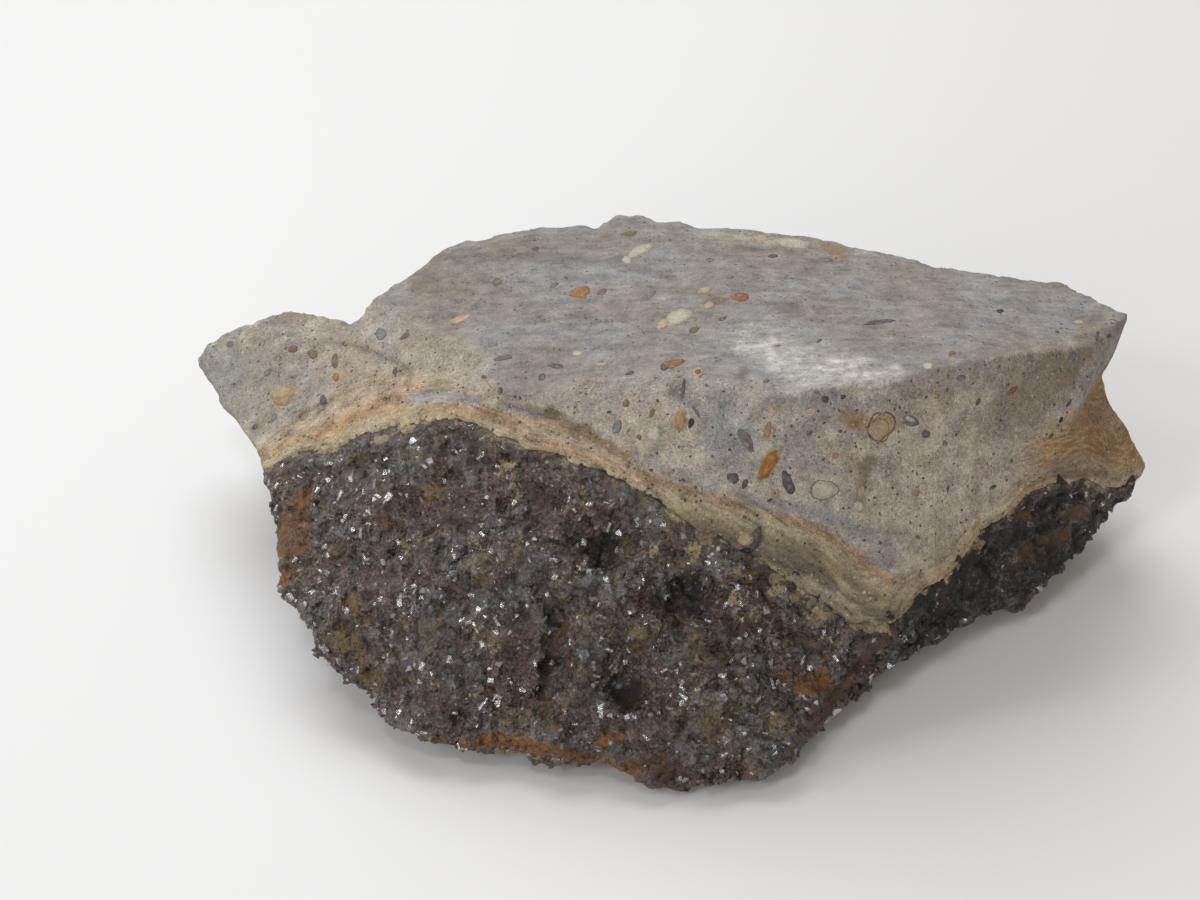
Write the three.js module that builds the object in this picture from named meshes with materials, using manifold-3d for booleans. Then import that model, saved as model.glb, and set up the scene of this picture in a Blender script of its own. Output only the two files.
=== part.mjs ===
// A broken hand specimen: grey fossil limestone grown over a mass of dark sphalerite.
// Millimetres. +X runs along the specimen, +Y from its broken front to its back, +Z up from where it lies.
// The named corners below are its driving dimensions; the rest is worked out from them.
import * as THREE from "three";
import { ConvexGeometry } from "three/addons/geometries/ConvexGeometry.js";
import { ConvexHull } from "three/addons/math/ConvexHull.js";
import { ImprovedNoise } from "three/addons/math/ImprovedNoise.js";
import { mergeVertices } from "three/addons/utils/BufferGeometryUtils.js";
import Module from "manifold-3d";

const wasm = await Module();
wasm.setup();

// A point inside the stone that sees every corner.
const heart = new THREE.Vector3(0, 8, 15);

// Corners on sharp edges: the outline from the front, the crest, the right front edge and the broken back.
const sharpCorners = {
  lobeTip: [-61, 31, 16],
  lobeShoulder: [-56, 32, 20],
  lobeTop: [-48, 31.5, 23],
  lobeNotch: [-39, 28, 23],
  capLeft: [-36.5, 27.5, 28],
  capLeftUpper: [-32, 33.5, 27.6],
  capBackLeft: [-28, 40, 27.4],
  backA: [-18.5, 43, 28],
  backB: [-8.5, 44, 27.5],
  backPeak: [-6, 45, 29],
  backC: [5, 42, 29],
  backD: [12.5, 40.5, 29.5],
  backE: [23, 37.5, 29.7],
  backF: [37, 32, 29.5],
  backG: [49, 27, 30.5],
  rightTip: [55.5, 19, 32],
  rightChin: [55, 19, 27],
  rightWaist: [53.5, 18.5, 23],
  rightNeck: [54.5, 18, 20],
  knobTop: [57.5, 16.5, 16],
  knob: [60, 14.5, 12],
  knobLow: [59, 13.5, 8],
  sideA: [55, 10, 7],
  sideB: [51, 5.5, 5],
  sideC: [45.5, 0, 4],
  sideD: [38.5, -3, 3.5],
  sideE: [31, -7.5, 3],
  sideF: [24.5, -12.5, 3],
  sideG: [19, -19, 3],
  frontA: [12.5, -26, 2],
  frontB: [7.5, -29, 1.5],
  frontC: [1.5, -29.5, 1],
  frontD: [-3.5, -29, 1.5],
  frontE: [-6, -28, 2.5],
  frontMid: [-10.5, -26.6, 2.6],
  frontF: [-15, -25.8, 2.8],
  frontG: [-21.5, -24.5, 3],
  frontH: [-33, -22, 4],
  leftA: [-37, -16.5, 6],
  leftAB: [-39.2, -14.8, 6.8],
  leftB: [-41.5, -12.5, 9],
  leftC: [-45, -7, 11],
  leftD: [-46.5, -0.5, 13],
  leftE: [-48, 5, 17],
  leftF: [-50.5, 12.5, 17],
  leftG: [-56, 21, 16],
  crestA: [-28.5, 16.5, 30],
  crestB: [-22, 12.5, 31.5],
  crestC: [-19.5, 4.5, 32],
  crestE: [10.5, -3, 36.8],
  crestF: [23, 0, 37],
  crestG: [37, 5, 36],
  crestH: [48.5, 10.5, 33.5],
  edgeA: [50, 10, 31],
  edgeB: [46, 5, 24],
  edgeC: [43.5, 2, 19.5],
  edgeD: [38.5, -1.5, 17],
  edgeE: [31, -8.5, 14],
  edgeF: [25, -13.5, 12],
  edgeG: [21, -16, 9],
  edgeH: [18, -19.5, 6],
  rearLobe: [-57.5, 34, 12],
  rearB: [-32, 44, 15],
  rearD: [-7, 48.5, 19],
  rearF: [25, 43.5, 16],
  rearH: [51.5, 28, 19],
  rearKnob: [56, 23.5, 11],
  lowB: [-28, 39, 5],
  lowD: [14, 40.5, 4.5],
  lowF: [46, 25, 6],
};

// Corners that the surface rolls over.
const softCorners = {
  crestLow: [-8, 0.5, 34.6],
  crestD: [1.5, -1, 36.4],
  crack: [-30, 12, 28],
  lobeMiddle: [-46.5, 17.5, 20.5],
  lobeFront: [-44, 6, 20],
  contactLeft: [-31.5, 4.5, 26],
  contactCrest: [-19.5, 1.5, 28],
  contactMiddle: [-6, -5, 26],
  contactRight: [7.5, -10.5, 20.5],
  contactLow: [15, -13, 15],
  oreA: [-38.5, -6, 15],
  oreB: [-25.5, -7, 22],
  oreC: [-25, -17, 13],
  oreD: [-12.5, -14.5, 18.5],
  oreE: [-12.5, -22, 10],
  oreF: [0.5, -16, 18],
  oreG: [0.5, -23.5, 10],
  oreH: [13, -20, 9.5],
  oreI: [-31, -19.5, 7.5],
  capFrontA: [2, -6, 30.6],
  capFrontB: [13, -7.3, 27],
  capFrontC: [26, -6, 24],
  capFrontD: [35, 0.5, 29],
  topA: [-24.5, 27.5, 30],
  topB: [-8, 20.5, 32],
  topC: [11, 20.5, 33],
  topD: [30, 18.5, 33],
  topE: [44, 16.5, 32.8],
  rearA: [-45, 36, 13],
  rearC: [-20, 46.5, 13],
  rearE: [9, 45, 14],
  rearG: [38, 37, 14],
  lowLobe: [-52, 22, 8],
  lowLeft: [-44, 8, 7],
  lowA: [-42, 28, 7],
  lowC: [-8, 41, 5],
  lowE: [32, 34, 5.5],
  lowG: [48, 12, 4],
  underA: [-36, -4, 4.5],
  underB: [-27, -17, 2.8],
  underC: [-9, -22, 2],
  underD: [9, -21, 2],
  underE: [26, -8, 2.6],
  underF: [36, 4, 3],
  underG: [34, 20, 3.6],
  underH: [18, 31, 3.2],
  underI: [-10, 33, 3.2],
  underJ: [-31, 22, 4.2],
};

// The part of the ore that faces the ground, by its highest and its frontmost point.
const underside = { top: 5, front: -18 };

// The small flat spot that the stone rests on: its corners reach below the ground plane, which trims them.
const restCorners = {
  restA: [-18, 1, -1],
  restB: [-10, -8, -1],
  restC: [4, -10, -1],
  restD: [16, -4, -1],
  restE: [21, 7, -1],
  restF: [14, 18, -1],
  restG: [-1, 21, -1],
  restH: [-14, 15, -1],
};

// Places on the surface between limestone and sphalerite, which arches up at the front.
const contactMarks = [
  [-58, 27, 9],
  [-53, 14, 11.5],
  [-48.5, 5, 16.2],
  [-43.5, 5.5, 20],
  [-36, 4.5, 23.5],
  [-31, 4, 26],
  [-25, 3, 27.8],
  [-19.5, 1.5, 28],
  [-12.5, -2, 27.5],
  [-6, -5, 26.5],
  [1, -8, 25],
  [7.5, -10.5, 21.6],
  [12, -12, 18.6],
  [15, -13, 15.6],
  [20, -14, 12.5],
  [25, -13.5, 11.5],
  [31, -8.5, 13.5],
  [38.5, -1.5, 16.5],
  [43.5, 2, 19],
  [48.5, 6, 17],
  [53, 10, 12.5],
  [58, 13, 9.5],
  [-40, 36, 12],
  [-20, 46, 14],
  [0, 48, 15],
  [20, 43, 13],
  [40, 34, 14],
  [54, 26, 11],
  [-20, 22, 18],
  [8, 20, 17],
  [34, 16, 16],
];

const contact = { reach: 6.5, blend: 0.02, waveHeight: 0.7, waveLength: 6, gridStep: 5, seam: 0.3 };

// Sizes of the two cutting blocks, which only need to be larger than the stone.
const cutWidth = 150;
const cutDepth = 110;
const cutHeight = 40;

// Roughness of each broken surface: height of the relief and the distance over which it repeats.
const capRelief = { swell: 0.35, swellLength: 11, grain: 0.14, grainLength: 2.6 };
const brokenRelief = { swell: 1, swellLength: 10, ledge: 1.2, ledgeRise: 4.2, bend: 0.8, bendLength: 14 };
const oreRelief = { lump: 1.0, lumpLength: 7, angle: 0.35, angleLength: 2.6, chip: 0.5 };

// Hollows in the sphalerite: middle, radius and depth.
const hollows = [
  { at: [-7.5, -11.5, 20.5], radius: 3.4, depth: 2.2 },
  { at: [2, -15.5, 18.5], radius: 4.2, depth: 2.4 },
  { at: [-5, -20.5, 11], radius: 4.4, depth: 2.6 },
  { at: [-38, -3, 16.5], radius: 5, depth: 0.9 },
  { at: [-19, -21.5, 8], radius: 4.2, depth: 1.1 },
  { at: [11, -18, 11.5], radius: 3.6, depth: 1.1 },
];

// The open fissure that runs down the ore face.
const fissure = { top: [-12.8, -16, 16.5], foot: [-13.6, -22.5, 8.2], halfWidth: 1.5, depth: 3 };

// The shallow step across the back left of the cap's top, which fades out at its right end.
const topStep = { from: [-36, 24], to: [8, 33], rise: 0.6, width: 3.5, fade: 6 };

// Longest edge of a triangle before the corners are rounded over, and after it on each part of the skin.
const skinStep = { coarse: 7.5, cap: 4.6, ore: 3.4, under: 6 };
const rounding = { passes: 3, pull: 0.55 };

// Where in the noise field each relief starts, and the seeds of the chips and crystals.
const starts = { contact: 4.3, swell: 1.7, grain: 8.1, bedding: 5.9, back: 2.9, lump: 3.1, angle: 6.4 };
const seeds = { chips: 3, crystals: 7 };

// Crystals are tetrahedra with blunt corners, as sphalerite grows: size is from middle to corner.
const crystals = { tries: 150, smallest: 1.9, largest: 3, blunt: 0.3, sink: 0.3, spacing: 5.5, clearance: 3 };

const noise = new ImprovedNoise();
const wave = (p, length, seed) =>
  noise.noise(p.x / length + seed, p.y / length - seed, p.z / length + 2 * seed);

// Angular noise, about zero on average: the absolute value folds the swell into sharp ridges.
const ridged = (p, length, seed) => 1 - 2.6 * Math.abs(wave(p, length, seed));

// Rises smoothly from 0 to 1 as the value goes from one limit to the other, which may be the lower.
function smoothStep(from, to, value) {
  const share = THREE.MathUtils.clamp((value - from) / (to - from), 0, 1);
  return share * share * (3 - 2 * share);
}

// Height of the limestone's contact with the sphalerite above a place in the ground plane.
function contactHeight(x, y) {
  let sum = 0;
  let weights = 0;
  for (const [markX, markY, markZ] of contactMarks) {
    const away = Math.hypot(x - markX, y - markY) / contact.reach;
    const weight = 1 / (contact.blend + away ** 4);
    sum += weight * markZ;
    weights += weight;
  }
  const place = new THREE.Vector3(x, y, 0);
  return sum / weights + contact.waveHeight * wave(place, contact.waveLength, starts.contact);
}

// Joins the corners into one closed skin. Corners that are neighbours as seen from the heart are joined,
// which the hull of their directions gives.
function skinOver(corners) {
  const points = corners.map((corner) => new THREE.Vector3(...corner));
  const directions = points.map((point) => point.clone().sub(heart).normalize());
  const indexOf = new Map(directions.map((direction, i) => [direction, i]));
  const triangles = new ConvexHull().setFromPoints(directions).faces.map((face) => {
    const { edge } = face;
    return [edge, edge.next, edge.prev].map((side) => indexOf.get(side.head().point));
  });
  return { points, triangles };
}

// Splits every edge that is longer than its limit, again and again, and keeps the skin closed.
// A point halfway between two sharp ones is sharp.
function splitLongEdges(skin, limitAt) {
  for (;;) {
    const middles = new Map();
    const middleOf = (a, b) => {
      const key = a < b ? `${a}_${b}` : `${b}_${a}`;
      if (middles.has(key)) return middles.get(key);
      const [from, to] = [skin.points[a], skin.points[b]];
      const middle = from.clone().lerp(to, 0.5);
      if (from.distanceTo(to) <= limitAt(middle)) {
        middles.set(key, null);
        return null;
      }
      skin.points.push(middle);
      skin.sharp.push(skin.sharp[a] && skin.sharp[b]);
      middles.set(key, skin.points.length - 1);
      return skin.points.length - 1;
    };
    const split = skin.triangles.flatMap(([a, b, c]) => splitTriangle([a, b, c], middleOf));
    if (split.length === skin.triangles.length) return skin;
    skin.triangles = split;
  }
}

// A triangle's pieces, after one, two or three of its edges were halved.
function splitTriangle(corners, middleOf) {
  const middles = corners.map((corner, i) => middleOf(corner, corners[(i + 1) % 3]));
  const halved = middles.filter((middle) => middle !== null).length;
  if (halved === 0) return [corners];
  // Turns the triangle so that its first edge is halved and, of two halved edges, the other comes next.
  let turn = middles.findIndex((middle) => middle !== null);
  if (halved === 2 && middles[(turn + 1) % 3] === null) turn = (turn + 2) % 3;
  const [a, b, c] = [0, 1, 2].map((i) => corners[(i + turn) % 3]);
  const [ab, bc, ca] = [0, 1, 2].map((i) => middles[(i + turn) % 3]);
  if (halved === 1) return [[a, ab, c], [ab, b, c]];
  if (halved === 2) return [[ab, b, bc], [a, ab, bc], [a, bc, c]];
  return [[a, ab, ca], [ab, b, bc], [ca, bc, c], [ab, bc, ca]];
}

// Pulls each point that isn't sharp towards the middle of its neighbours.
function roundOver(skin) {
  for (let pass = 0; pass < rounding.passes; pass++) {
    const sums = skin.points.map(() => new THREE.Vector3());
    const counts = skin.points.map(() => 0);
    for (const corners of skin.triangles) {
      corners.forEach((corner, i) => {
        sums[corner].add(skin.points[corners[(i + 1) % 3]]);
        counts[corner] += 1;
      });
    }
    skin.points.forEach((point, i) => {
      if (!skin.sharp[i]) point.lerp(sums[i].divideScalar(counts[i]), rounding.pull);
    });
  }
  return skin;
}

function normalsOf({ points, triangles }) {
  const normals = points.map(() => new THREE.Vector3());
  for (const corners of triangles) {
    const [a, b, c] = corners.map((corner) => points[corner]);
    const across = b.clone().sub(a).cross(c.clone().sub(a));
    corners.forEach((corner) => normals[corner].add(across));
  }
  return normals.map((normal) => normal.normalize());
}

// How far a surface point stands out of the smooth skin.
function reliefAt(point, normal) {
  const aboveContact = point.z - contactHeight(point.x, point.y);
  const onCap = smoothStep(-1, 1, aboveContact);
  const facesBack = smoothStep(0.1, 0.6, normal.y) * smoothStep(0.75, 0.35, normal.z);
  return (
    onCap * (1 - facesBack) * capReliefAt(point, normal) +
    onCap * facesBack * brokenReliefAt(point) +
    (1 - onCap) * oreReliefAt(point)
  );
}

function capReliefAt(point, normal) {
  const { swell, swellLength, grain, grainLength } = capRelief;
  const slow = swell * wave(point, swellLength, starts.swell);
  const fine = grain * wave(point, grainLength, starts.grain);
  return slow + fine + smoothStep(0.7, 0.95, normal.z) * topStepAt(point);
}

// The back of the top lies higher, up a shallow step.
function topStepAt(point) {
  const { from, to, rise, width, fade } = topStep;
  const [runX, runY] = [to[0] - from[0], to[1] - from[1]];
  const length = Math.hypot(runX, runY);
  const along = ((point.x - from[0]) * runX + (point.y - from[1]) * runY) / length;
  const beyond = ((point.y - from[1]) * runX - (point.x - from[0]) * runY) / length;
  return rise * smoothStep(0, width, beyond) * smoothStep(length + fade, length - fade, along);
}

// The broken back: swells cut into ledges that follow the bedding.
function brokenReliefAt(point) {
  const { swell, swellLength, ledge, ledgeRise, bend, bendLength } = brokenRelief;
  const level = point.z / ledgeRise + bend * wave(point, bendLength, starts.bedding);
  const share = level - Math.floor(level);
  return swell * wave(point, swellLength, starts.back) + ledge * (smoothStep(0, 0.35, share) - share);
}

function oreReliefAt(point) {
  const { lump, lumpLength, angle, angleLength } = oreRelief;
  let height = lump * wave(point, lumpLength, starts.lump);
  height += angle * ridged(point, angleLength, starts.angle);
  for (const { at, radius, depth } of hollows) {
    const away = point.distanceTo(new THREE.Vector3(...at)) / radius;
    if (away < 1) height -= depth * (1 - away * away);
  }
  const line = new THREE.Line3(new THREE.Vector3(...fissure.top), new THREE.Vector3(...fissure.foot));
  const nearest = line.closestPointToPoint(point, true, new THREE.Vector3());
  const aside = nearest.distanceTo(point) / (2 * fissure.halfWidth);
  return height - fissure.depth * Math.max(0, 1 - aside);
}

function roughen(skin) {
  const normals = normalsOf(skin);
  const heights = skin.points.map((point, i) => reliefAt(point, normals[i]));
  skin.points.forEach((point, i) => point.addScaledVector(normals[i], heights[i]));
  return chipOre(skin);
}

// Knocks each point of the ore a little out of place, so that its small faces lie at all angles.
function chipOre(skin) {
  const random = seededRandom(seeds.chips);
  for (const point of skin.points) {
    const nudge = new THREE.Vector3(random() - 0.5, random() - 0.5, random() - 0.5);
    const inOre = smoothStep(0.5, -0.5, point.z - contactHeight(point.x, point.y));
    point.addScaledVector(nudge, 2 * oreRelief.chip * inOre);
  }
  return skin;
}

function solidOf(points, triangles) {
  const vertProperties = new Float32Array(points.flatMap((point) => point.toArray()));
  const triVerts = new Uint32Array(triangles.flat());
  return new wasm.Manifold(new wasm.Mesh({ numProp: 3, vertProperties, triVerts }));
}

function solidOfGeometry(geometry) {
  const bare = new THREE.BufferGeometry();
  bare.setAttribute("position", geometry.getAttribute("position"));
  if (geometry.index) bare.setIndex(geometry.index);
  const merged = mergeVertices(bare, 1e-4);
  const index = merged.index ?? mergeVertices(merged).index;
  return new wasm.Manifold(
    new wasm.Mesh({
      numProp: 3,
      vertProperties: new Float32Array(merged.getAttribute("position").array),
      triVerts: new Uint32Array(index.array),
    }),
  );
}

// Everything above the contact, as a block whose underside is the wavy contact surface.
function blockAboveContact(shift) {
  const columns = Math.round(cutWidth / contact.gridStep);
  const rows = Math.round(cutDepth / contact.gridStep);
  const block = new THREE.BoxGeometry(cutWidth, cutDepth, cutHeight, columns, rows, 1);
  block.translate(0, heart.y, cutHeight / 2);
  const position = block.getAttribute("position");
  for (let i = 0; i < position.count; i++) {
    if (position.getZ(i) > 0) continue;
    position.setZ(i, contactHeight(position.getX(i), position.getY(i)) + shift);
  }
  return solidOfGeometry(block);
}

// Everything below the ground plane.
function blockUnderGround() {
  const block = new THREE.BoxGeometry(cutWidth, cutDepth, cutHeight);
  block.translate(0, heart.y, -cutHeight / 2);
  return solidOfGeometry(block);
}

// Flat-faced crystals, half sunk in the ore where its surface shows, and never near the limestone.
function crystalsOn(skin) {
  const random = seededRandom(seeds.crystals);
  const normals = normalsOf(skin);
  const placed = [];
  const solids = [];
  for (let attempt = 0; attempt < crystals.tries; attempt++) {
    const pick = Math.floor(random() * skin.points.length);
    const [point, normal] = [skin.points[pick], normals[pick]];
    const size = THREE.MathUtils.lerp(crystals.smallest, crystals.largest, random() ** 2);
    const turn = new THREE.Euler(random() * Math.PI, random() * Math.PI, random() * Math.PI);
    const belowContact = contactHeight(point.x, point.y) - point.z;
    const crowded = placed.some((other) => other.distanceTo(point) < crystals.spacing);
    if (belowContact < crystals.clearance || point.z < size || crowded) continue;
    placed.push(point);
    const crystal = bluntTetrahedron(size);
    crystal.applyMatrix4(new THREE.Matrix4().makeRotationFromEuler(turn));
    const middle = point.clone().addScaledVector(normal, -crystals.sink * size);
    crystal.translate(...middle.toArray());
    solids.push(solidOfGeometry(crystal));
  }
  return wasm.Manifold.union(solids);
}

// A tetrahedron whose corners are cut off flat. Its uncut tips are every other corner of a cube.
function bluntTetrahedron(size) {
  const cubeCorners = [[1, 1, 1], [-1, -1, 1], [-1, 1, -1], [1, -1, -1]];
  const tips = cubeCorners.map((corner) => new THREE.Vector3(...corner).setLength(size));
  const points = tips.flatMap((tip) => {
    const others = tips.filter((other) => other !== tip);
    return others.map((other) => tip.clone().lerp(other, crystals.blunt));
  });
  return new ConvexGeometry(points);
}

// Repeatable random numbers from 0 to 1.
function seededRandom(seed) {
  THREE.MathUtils.seededRandom(seed);
  return () => THREE.MathUtils.seededRandom();
}

function meshOf(name, solid, material, shift) {
  const { vertProperties, triVerts } = solid.getMesh();
  const geometry = new THREE.BufferGeometry();
  geometry.setAttribute("position", new THREE.BufferAttribute(new Float32Array(vertProperties), 3));
  geometry.setIndex(new THREE.BufferAttribute(new Uint32Array(triVerts), 1));
  geometry.computeVertexNormals();
  const mesh = new THREE.Mesh(geometry, material);
  mesh.name = name;
  mesh.position.copy(shift);
  return mesh;
}

function roughStone() {
  const corners = [sharpCorners, softCorners, restCorners].flatMap((set) => Object.values(set));
  const skin = skinOver(corners);
  const sharpCount = Object.keys(sharpCorners).length;
  skin.sharp = skin.points.map((_, i) => i < sharpCount);
  splitLongEdges(skin, () => skinStep.coarse);
  roundOver(skin);
  splitLongEdges(skin, stepAt);
  return roughen(skin);
}

// Longest edge of a triangle at a place on the skin: the ore face is the finest, its underside the coarsest.
function stepAt(place) {
  if (place.z > contactHeight(place.x, place.y)) return skinStep.cap;
  return place.z < underside.top && place.y > underside.front ? skinStep.under : skinStep.ore;
}

// The cut along the contact can shave off crumbs, which are left out.
function withoutCrumbs(solid) {
  const pieces = solid.decompose();
  return pieces.reduce((largest, piece) => (piece.volume() > largest.volume() ? piece : largest));
}

const skin = roughStone();
const stone = solidOf(skin.points, skin.triangles).subtract(blockUnderGround());
const limestoneSolid = withoutCrumbs(stone.intersect(blockAboveContact(contact.seam / 2)));
const sphaleriteSolid = withoutCrumbs(
  stone
    .add(crystalsOn(skin))
    .subtract(blockUnderGround())
    .subtract(blockAboveContact(-contact.seam / 2)),
);

// The stone is moved so that the origin is the bottom centre of the box around it.
const box = stone.boundingBox();
const origin = new THREE.Vector3(-(box.min[0] + box.max[0]) / 2, -(box.min[1] + box.max[1]) / 2, 0);

const limestoneGrey = new THREE.MeshStandardMaterial({ color: 0x8e8a86, roughness: 0.92, metalness: 0 });
const sphaleriteDark = new THREE.MeshStandardMaterial({ color: 0x3f3a3b, roughness: 0.32, metalness: 0.25 });

const specimen = new THREE.Group();
specimen.add(meshOf("limestone", limestoneSolid, limestoneGrey, origin));
specimen.add(meshOf("sphalerite", sphaleriteSolid, sphaleriteDark, origin));

export default specimen;
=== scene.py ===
import math

import bmesh
import bpy
import numpy as np
from mathutils import Euler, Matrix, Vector, noise
from mathutils.bvhtree import BVHTree
from mathutils.kdtree import KDTree


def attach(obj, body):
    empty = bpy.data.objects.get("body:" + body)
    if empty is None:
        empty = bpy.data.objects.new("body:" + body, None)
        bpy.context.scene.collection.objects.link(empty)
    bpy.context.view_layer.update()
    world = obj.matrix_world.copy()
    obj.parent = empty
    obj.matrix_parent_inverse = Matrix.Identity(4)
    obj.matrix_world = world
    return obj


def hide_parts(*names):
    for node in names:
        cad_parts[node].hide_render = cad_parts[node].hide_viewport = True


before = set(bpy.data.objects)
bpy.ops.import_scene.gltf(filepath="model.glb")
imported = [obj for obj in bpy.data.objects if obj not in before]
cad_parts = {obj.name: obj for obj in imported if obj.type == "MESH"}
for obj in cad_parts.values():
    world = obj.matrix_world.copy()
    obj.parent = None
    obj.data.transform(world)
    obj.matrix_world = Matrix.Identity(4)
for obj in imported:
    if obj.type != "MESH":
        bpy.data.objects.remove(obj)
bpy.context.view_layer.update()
mm = 0.001

# View: places and lengths in millimetres, the angle in degrees, the picture in pixels.
view = {
    "aim": (-7.7, -5.4, 23.0),
    "elevation": 40,
    "distance": 235,
    "lens": 60,
    "sensor": 36,
    "picture": (1200, 900),
}
viewTilt = math.radians(view["elevation"])
viewRight = Vector((1, 0, 0))
viewUp = Vector((0, math.sin(viewTilt), math.cos(viewTilt)))
viewAhead = Vector((0, math.cos(viewTilt), -math.sin(viewTilt)))
viewEye = Vector(view["aim"]) * mm - viewAhead * view["distance"] * mm
viewFocal = view["lens"] / view["sensor"] * view["picture"][0]
pixelsPerMm = viewFocal / view["distance"]


def rayThrough(pixel):
    across = (pixel[0] - view["picture"][0] / 2) / viewFocal
    down = (pixel[1] - view["picture"][1] / 2) / viewFocal
    return (viewAhead + viewRight * across - viewUp * down).normalized()


# Where places in mm show in the picture.
def pixelsOf(places):
    offsets = places - np.array(viewEye) / mm
    ahead = offsets @ np.array(viewAhead)
    across = offsets @ np.array(viewRight) / ahead * viewFocal + view["picture"][0] / 2
    down = view["picture"][1] / 2 - offsets @ np.array(viewUp) / ahead * viewFocal
    return across, down


def smoothStep(low, high, values):
    share = np.clip((values - low) / (high - low), 0, 1)
    return share * share * (3 - 2 * share)


def srgb(red, green, blue):
    linear = []
    for level in (red / 255, green / 255, blue / 255):
        linear.append(level / 12.92 if level <= 0.04045 else ((level + 0.055) / 1.055) ** 2.4)
    return (*linear, 1.0)


# Shader graphs
class Value:
    # One output of a node. Sums, products and the like of values add Math nodes.
    def __init__(self, graph, socket):
        self.graph = graph
        self.socket = socket

    def output(self, name):
        return Value(self.graph, self.socket.node.outputs[name])

    def maths(self, operation, *others, flipped=False):
        terms = [*others, self] if flipped else [self, *others]
        return self.graph.add("ShaderNodeMath", {"operation": operation}, dict(enumerate(terms)))

    def __add__(self, other):
        return self.maths("ADD", other)

    def __radd__(self, other):
        return self.maths("ADD", other)

    def __sub__(self, other):
        return self.maths("SUBTRACT", other)

    def __rsub__(self, other):
        return self.maths("SUBTRACT", other, flipped=True)

    def __mul__(self, other):
        return self.maths("MULTIPLY", other)

    def __rmul__(self, other):
        return self.maths("MULTIPLY", other)

    def __truediv__(self, other):
        return self.maths("DIVIDE", other)

    def larger(self, other):
        return self.maths("MAXIMUM", other)

    def rise(self, low, high):  # 0 at low, 1 at high, smooth between; low may be the larger
        settings = {"interpolation_type": "SMOOTHSTEP"}
        if low < high:
            return self.graph.add("ShaderNodeMapRange", settings, {0: self, 1: low, 2: high})
        return self.graph.add("ShaderNodeMapRange", settings, {0: self, 1: high, 2: low, 3: 1.0, 4: 0.0})


class Graph:
    def __init__(self, name):
        self.material = bpy.data.materials.new(name)
        self.material.use_nodes = True
        self.tree = self.material.node_tree
        self.tree.nodes.clear()

    def add(self, kind, settings=None, values=None, output=0):
        node = self.tree.nodes.new(kind)
        for name, setting in (settings or {}).items():
            if name == "stops":
                self.setStops(node.color_ramp, setting)
            else:
                setattr(node, name, setting)
        for name, value in (values or {}).items():
            if isinstance(value, Value):
                self.tree.links.new(value.socket, node.inputs[name])
            else:
                node.inputs[name].default_value = value
        return Value(self, node.outputs[output]) if len(node.outputs) else None

    def setStops(self, ramp, stops):
        while len(ramp.elements) < len(stops):
            ramp.elements.new(1.0)
        for element, (place, colour) in zip(ramp.elements, stops):
            element.position = place
            element.color = colour

    def mix(self, factor, first, second, blend="MIX"):
        settings = {"data_type": "RGBA", "blend_type": blend}
        return self.add("ShaderNodeMix", settings, {0: factor, 6: first, 7: second}, 2)

    def vector(self, operation, first, second=None, output="Vector"):
        values = {0: first} if second is None else {0: first, 1: second}
        return self.add("ShaderNodeVectorMath", {"operation": operation}, values, output)

    def spread(self, vector, amount):  # a vector times a number
        return self.add("ShaderNodeVectorMath", {"operation": "SCALE"}, {0: vector, 3: amount}, "Vector")

    def noise(self, place, size, detail=2.0, roughness=0.5, output=0):  # size of its features in mm
        values = {"Vector": place, "Scale": 1 / (size * mm), "Detail": detail, "Roughness": roughness}
        return self.add("ShaderNodeTexNoise", None, values, output)

    def cells(self, place, size):  # size of a cell in mm
        return self.add("ShaderNodeTexVoronoi", None, {"Vector": place, "Scale": 1 / (size * mm)}, "Distance")

    def attribute(self, name):
        return self.add("ShaderNodeAttribute", {"attribute_name": name}, None, "Fac")

    def toned(self, colour, tone):  # a colour times a number
        tones = self.add("ShaderNodeCombineColor", None, {0: tone, 1: tone, 2: tone})
        return self.mix(1.0, colour, tones, "MULTIPLY")

    def bump(self, height):  # height in metres
        return self.add("ShaderNodeBump", None, {"Strength": 1.0, "Distance": 1.0, "Height": height}, "Normal")

    def shade(self, values):
        shader = self.add("ShaderNodeBsdfPrincipled", None, values)
        self.add("ShaderNodeOutputMaterial", None, {"Surface": shader})
        return self.material


# Meshes
def mergedCopy(node):
    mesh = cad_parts[node].data.copy()
    shape = bmesh.new()
    shape.from_mesh(mesh)
    bmesh.ops.remove_doubles(shape, verts=shape.verts, dist=0.01 * mm)
    shape.to_mesh(mesh)
    shape.free()
    mesh.materials.clear()
    return mesh


def pieceOf(name, mesh):
    piece = bpy.data.objects.new(name, mesh)
    bpy.context.scene.collection.objects.link(piece)
    return piece


def evaluatedMesh(piece):
    depsgraph = bpy.context.evaluated_depsgraph_get()
    return bpy.data.meshes.new_from_object(piece.evaluated_get(depsgraph), depsgraph=depsgraph)


def remeshed(name, node, voxel):
    holder = pieceOf(name + "Rough", mergedCopy(node))
    modifier = holder.modifiers.new("Remesh", "REMESH")
    modifier.mode = "VOXEL"
    modifier.voxel_size = voxel * mm
    mesh = evaluatedMesh(holder)
    bpy.data.objects.remove(holder)
    mesh.name = name
    return mesh


def placesOf(mesh):
    places = np.empty(len(mesh.vertices) * 3)
    mesh.vertices.foreach_get("co", places)
    return places.reshape(-1, 3) / mm


def setPlaces(mesh, places):
    mesh.vertices.foreach_set("co", (places * mm).astype(np.float32).ravel())
    mesh.update()


def normalsOf(mesh):
    normals = np.empty(len(mesh.vertices) * 3)
    mesh.vertices.foreach_get("normal", normals)
    return normals.reshape(-1, 3)


def edgesOf(mesh):
    edges = np.empty(len(mesh.edges) * 2, dtype=np.int64)
    mesh.edges.foreach_get("vertices", edges)
    return edges.reshape(-1, 2)


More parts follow.
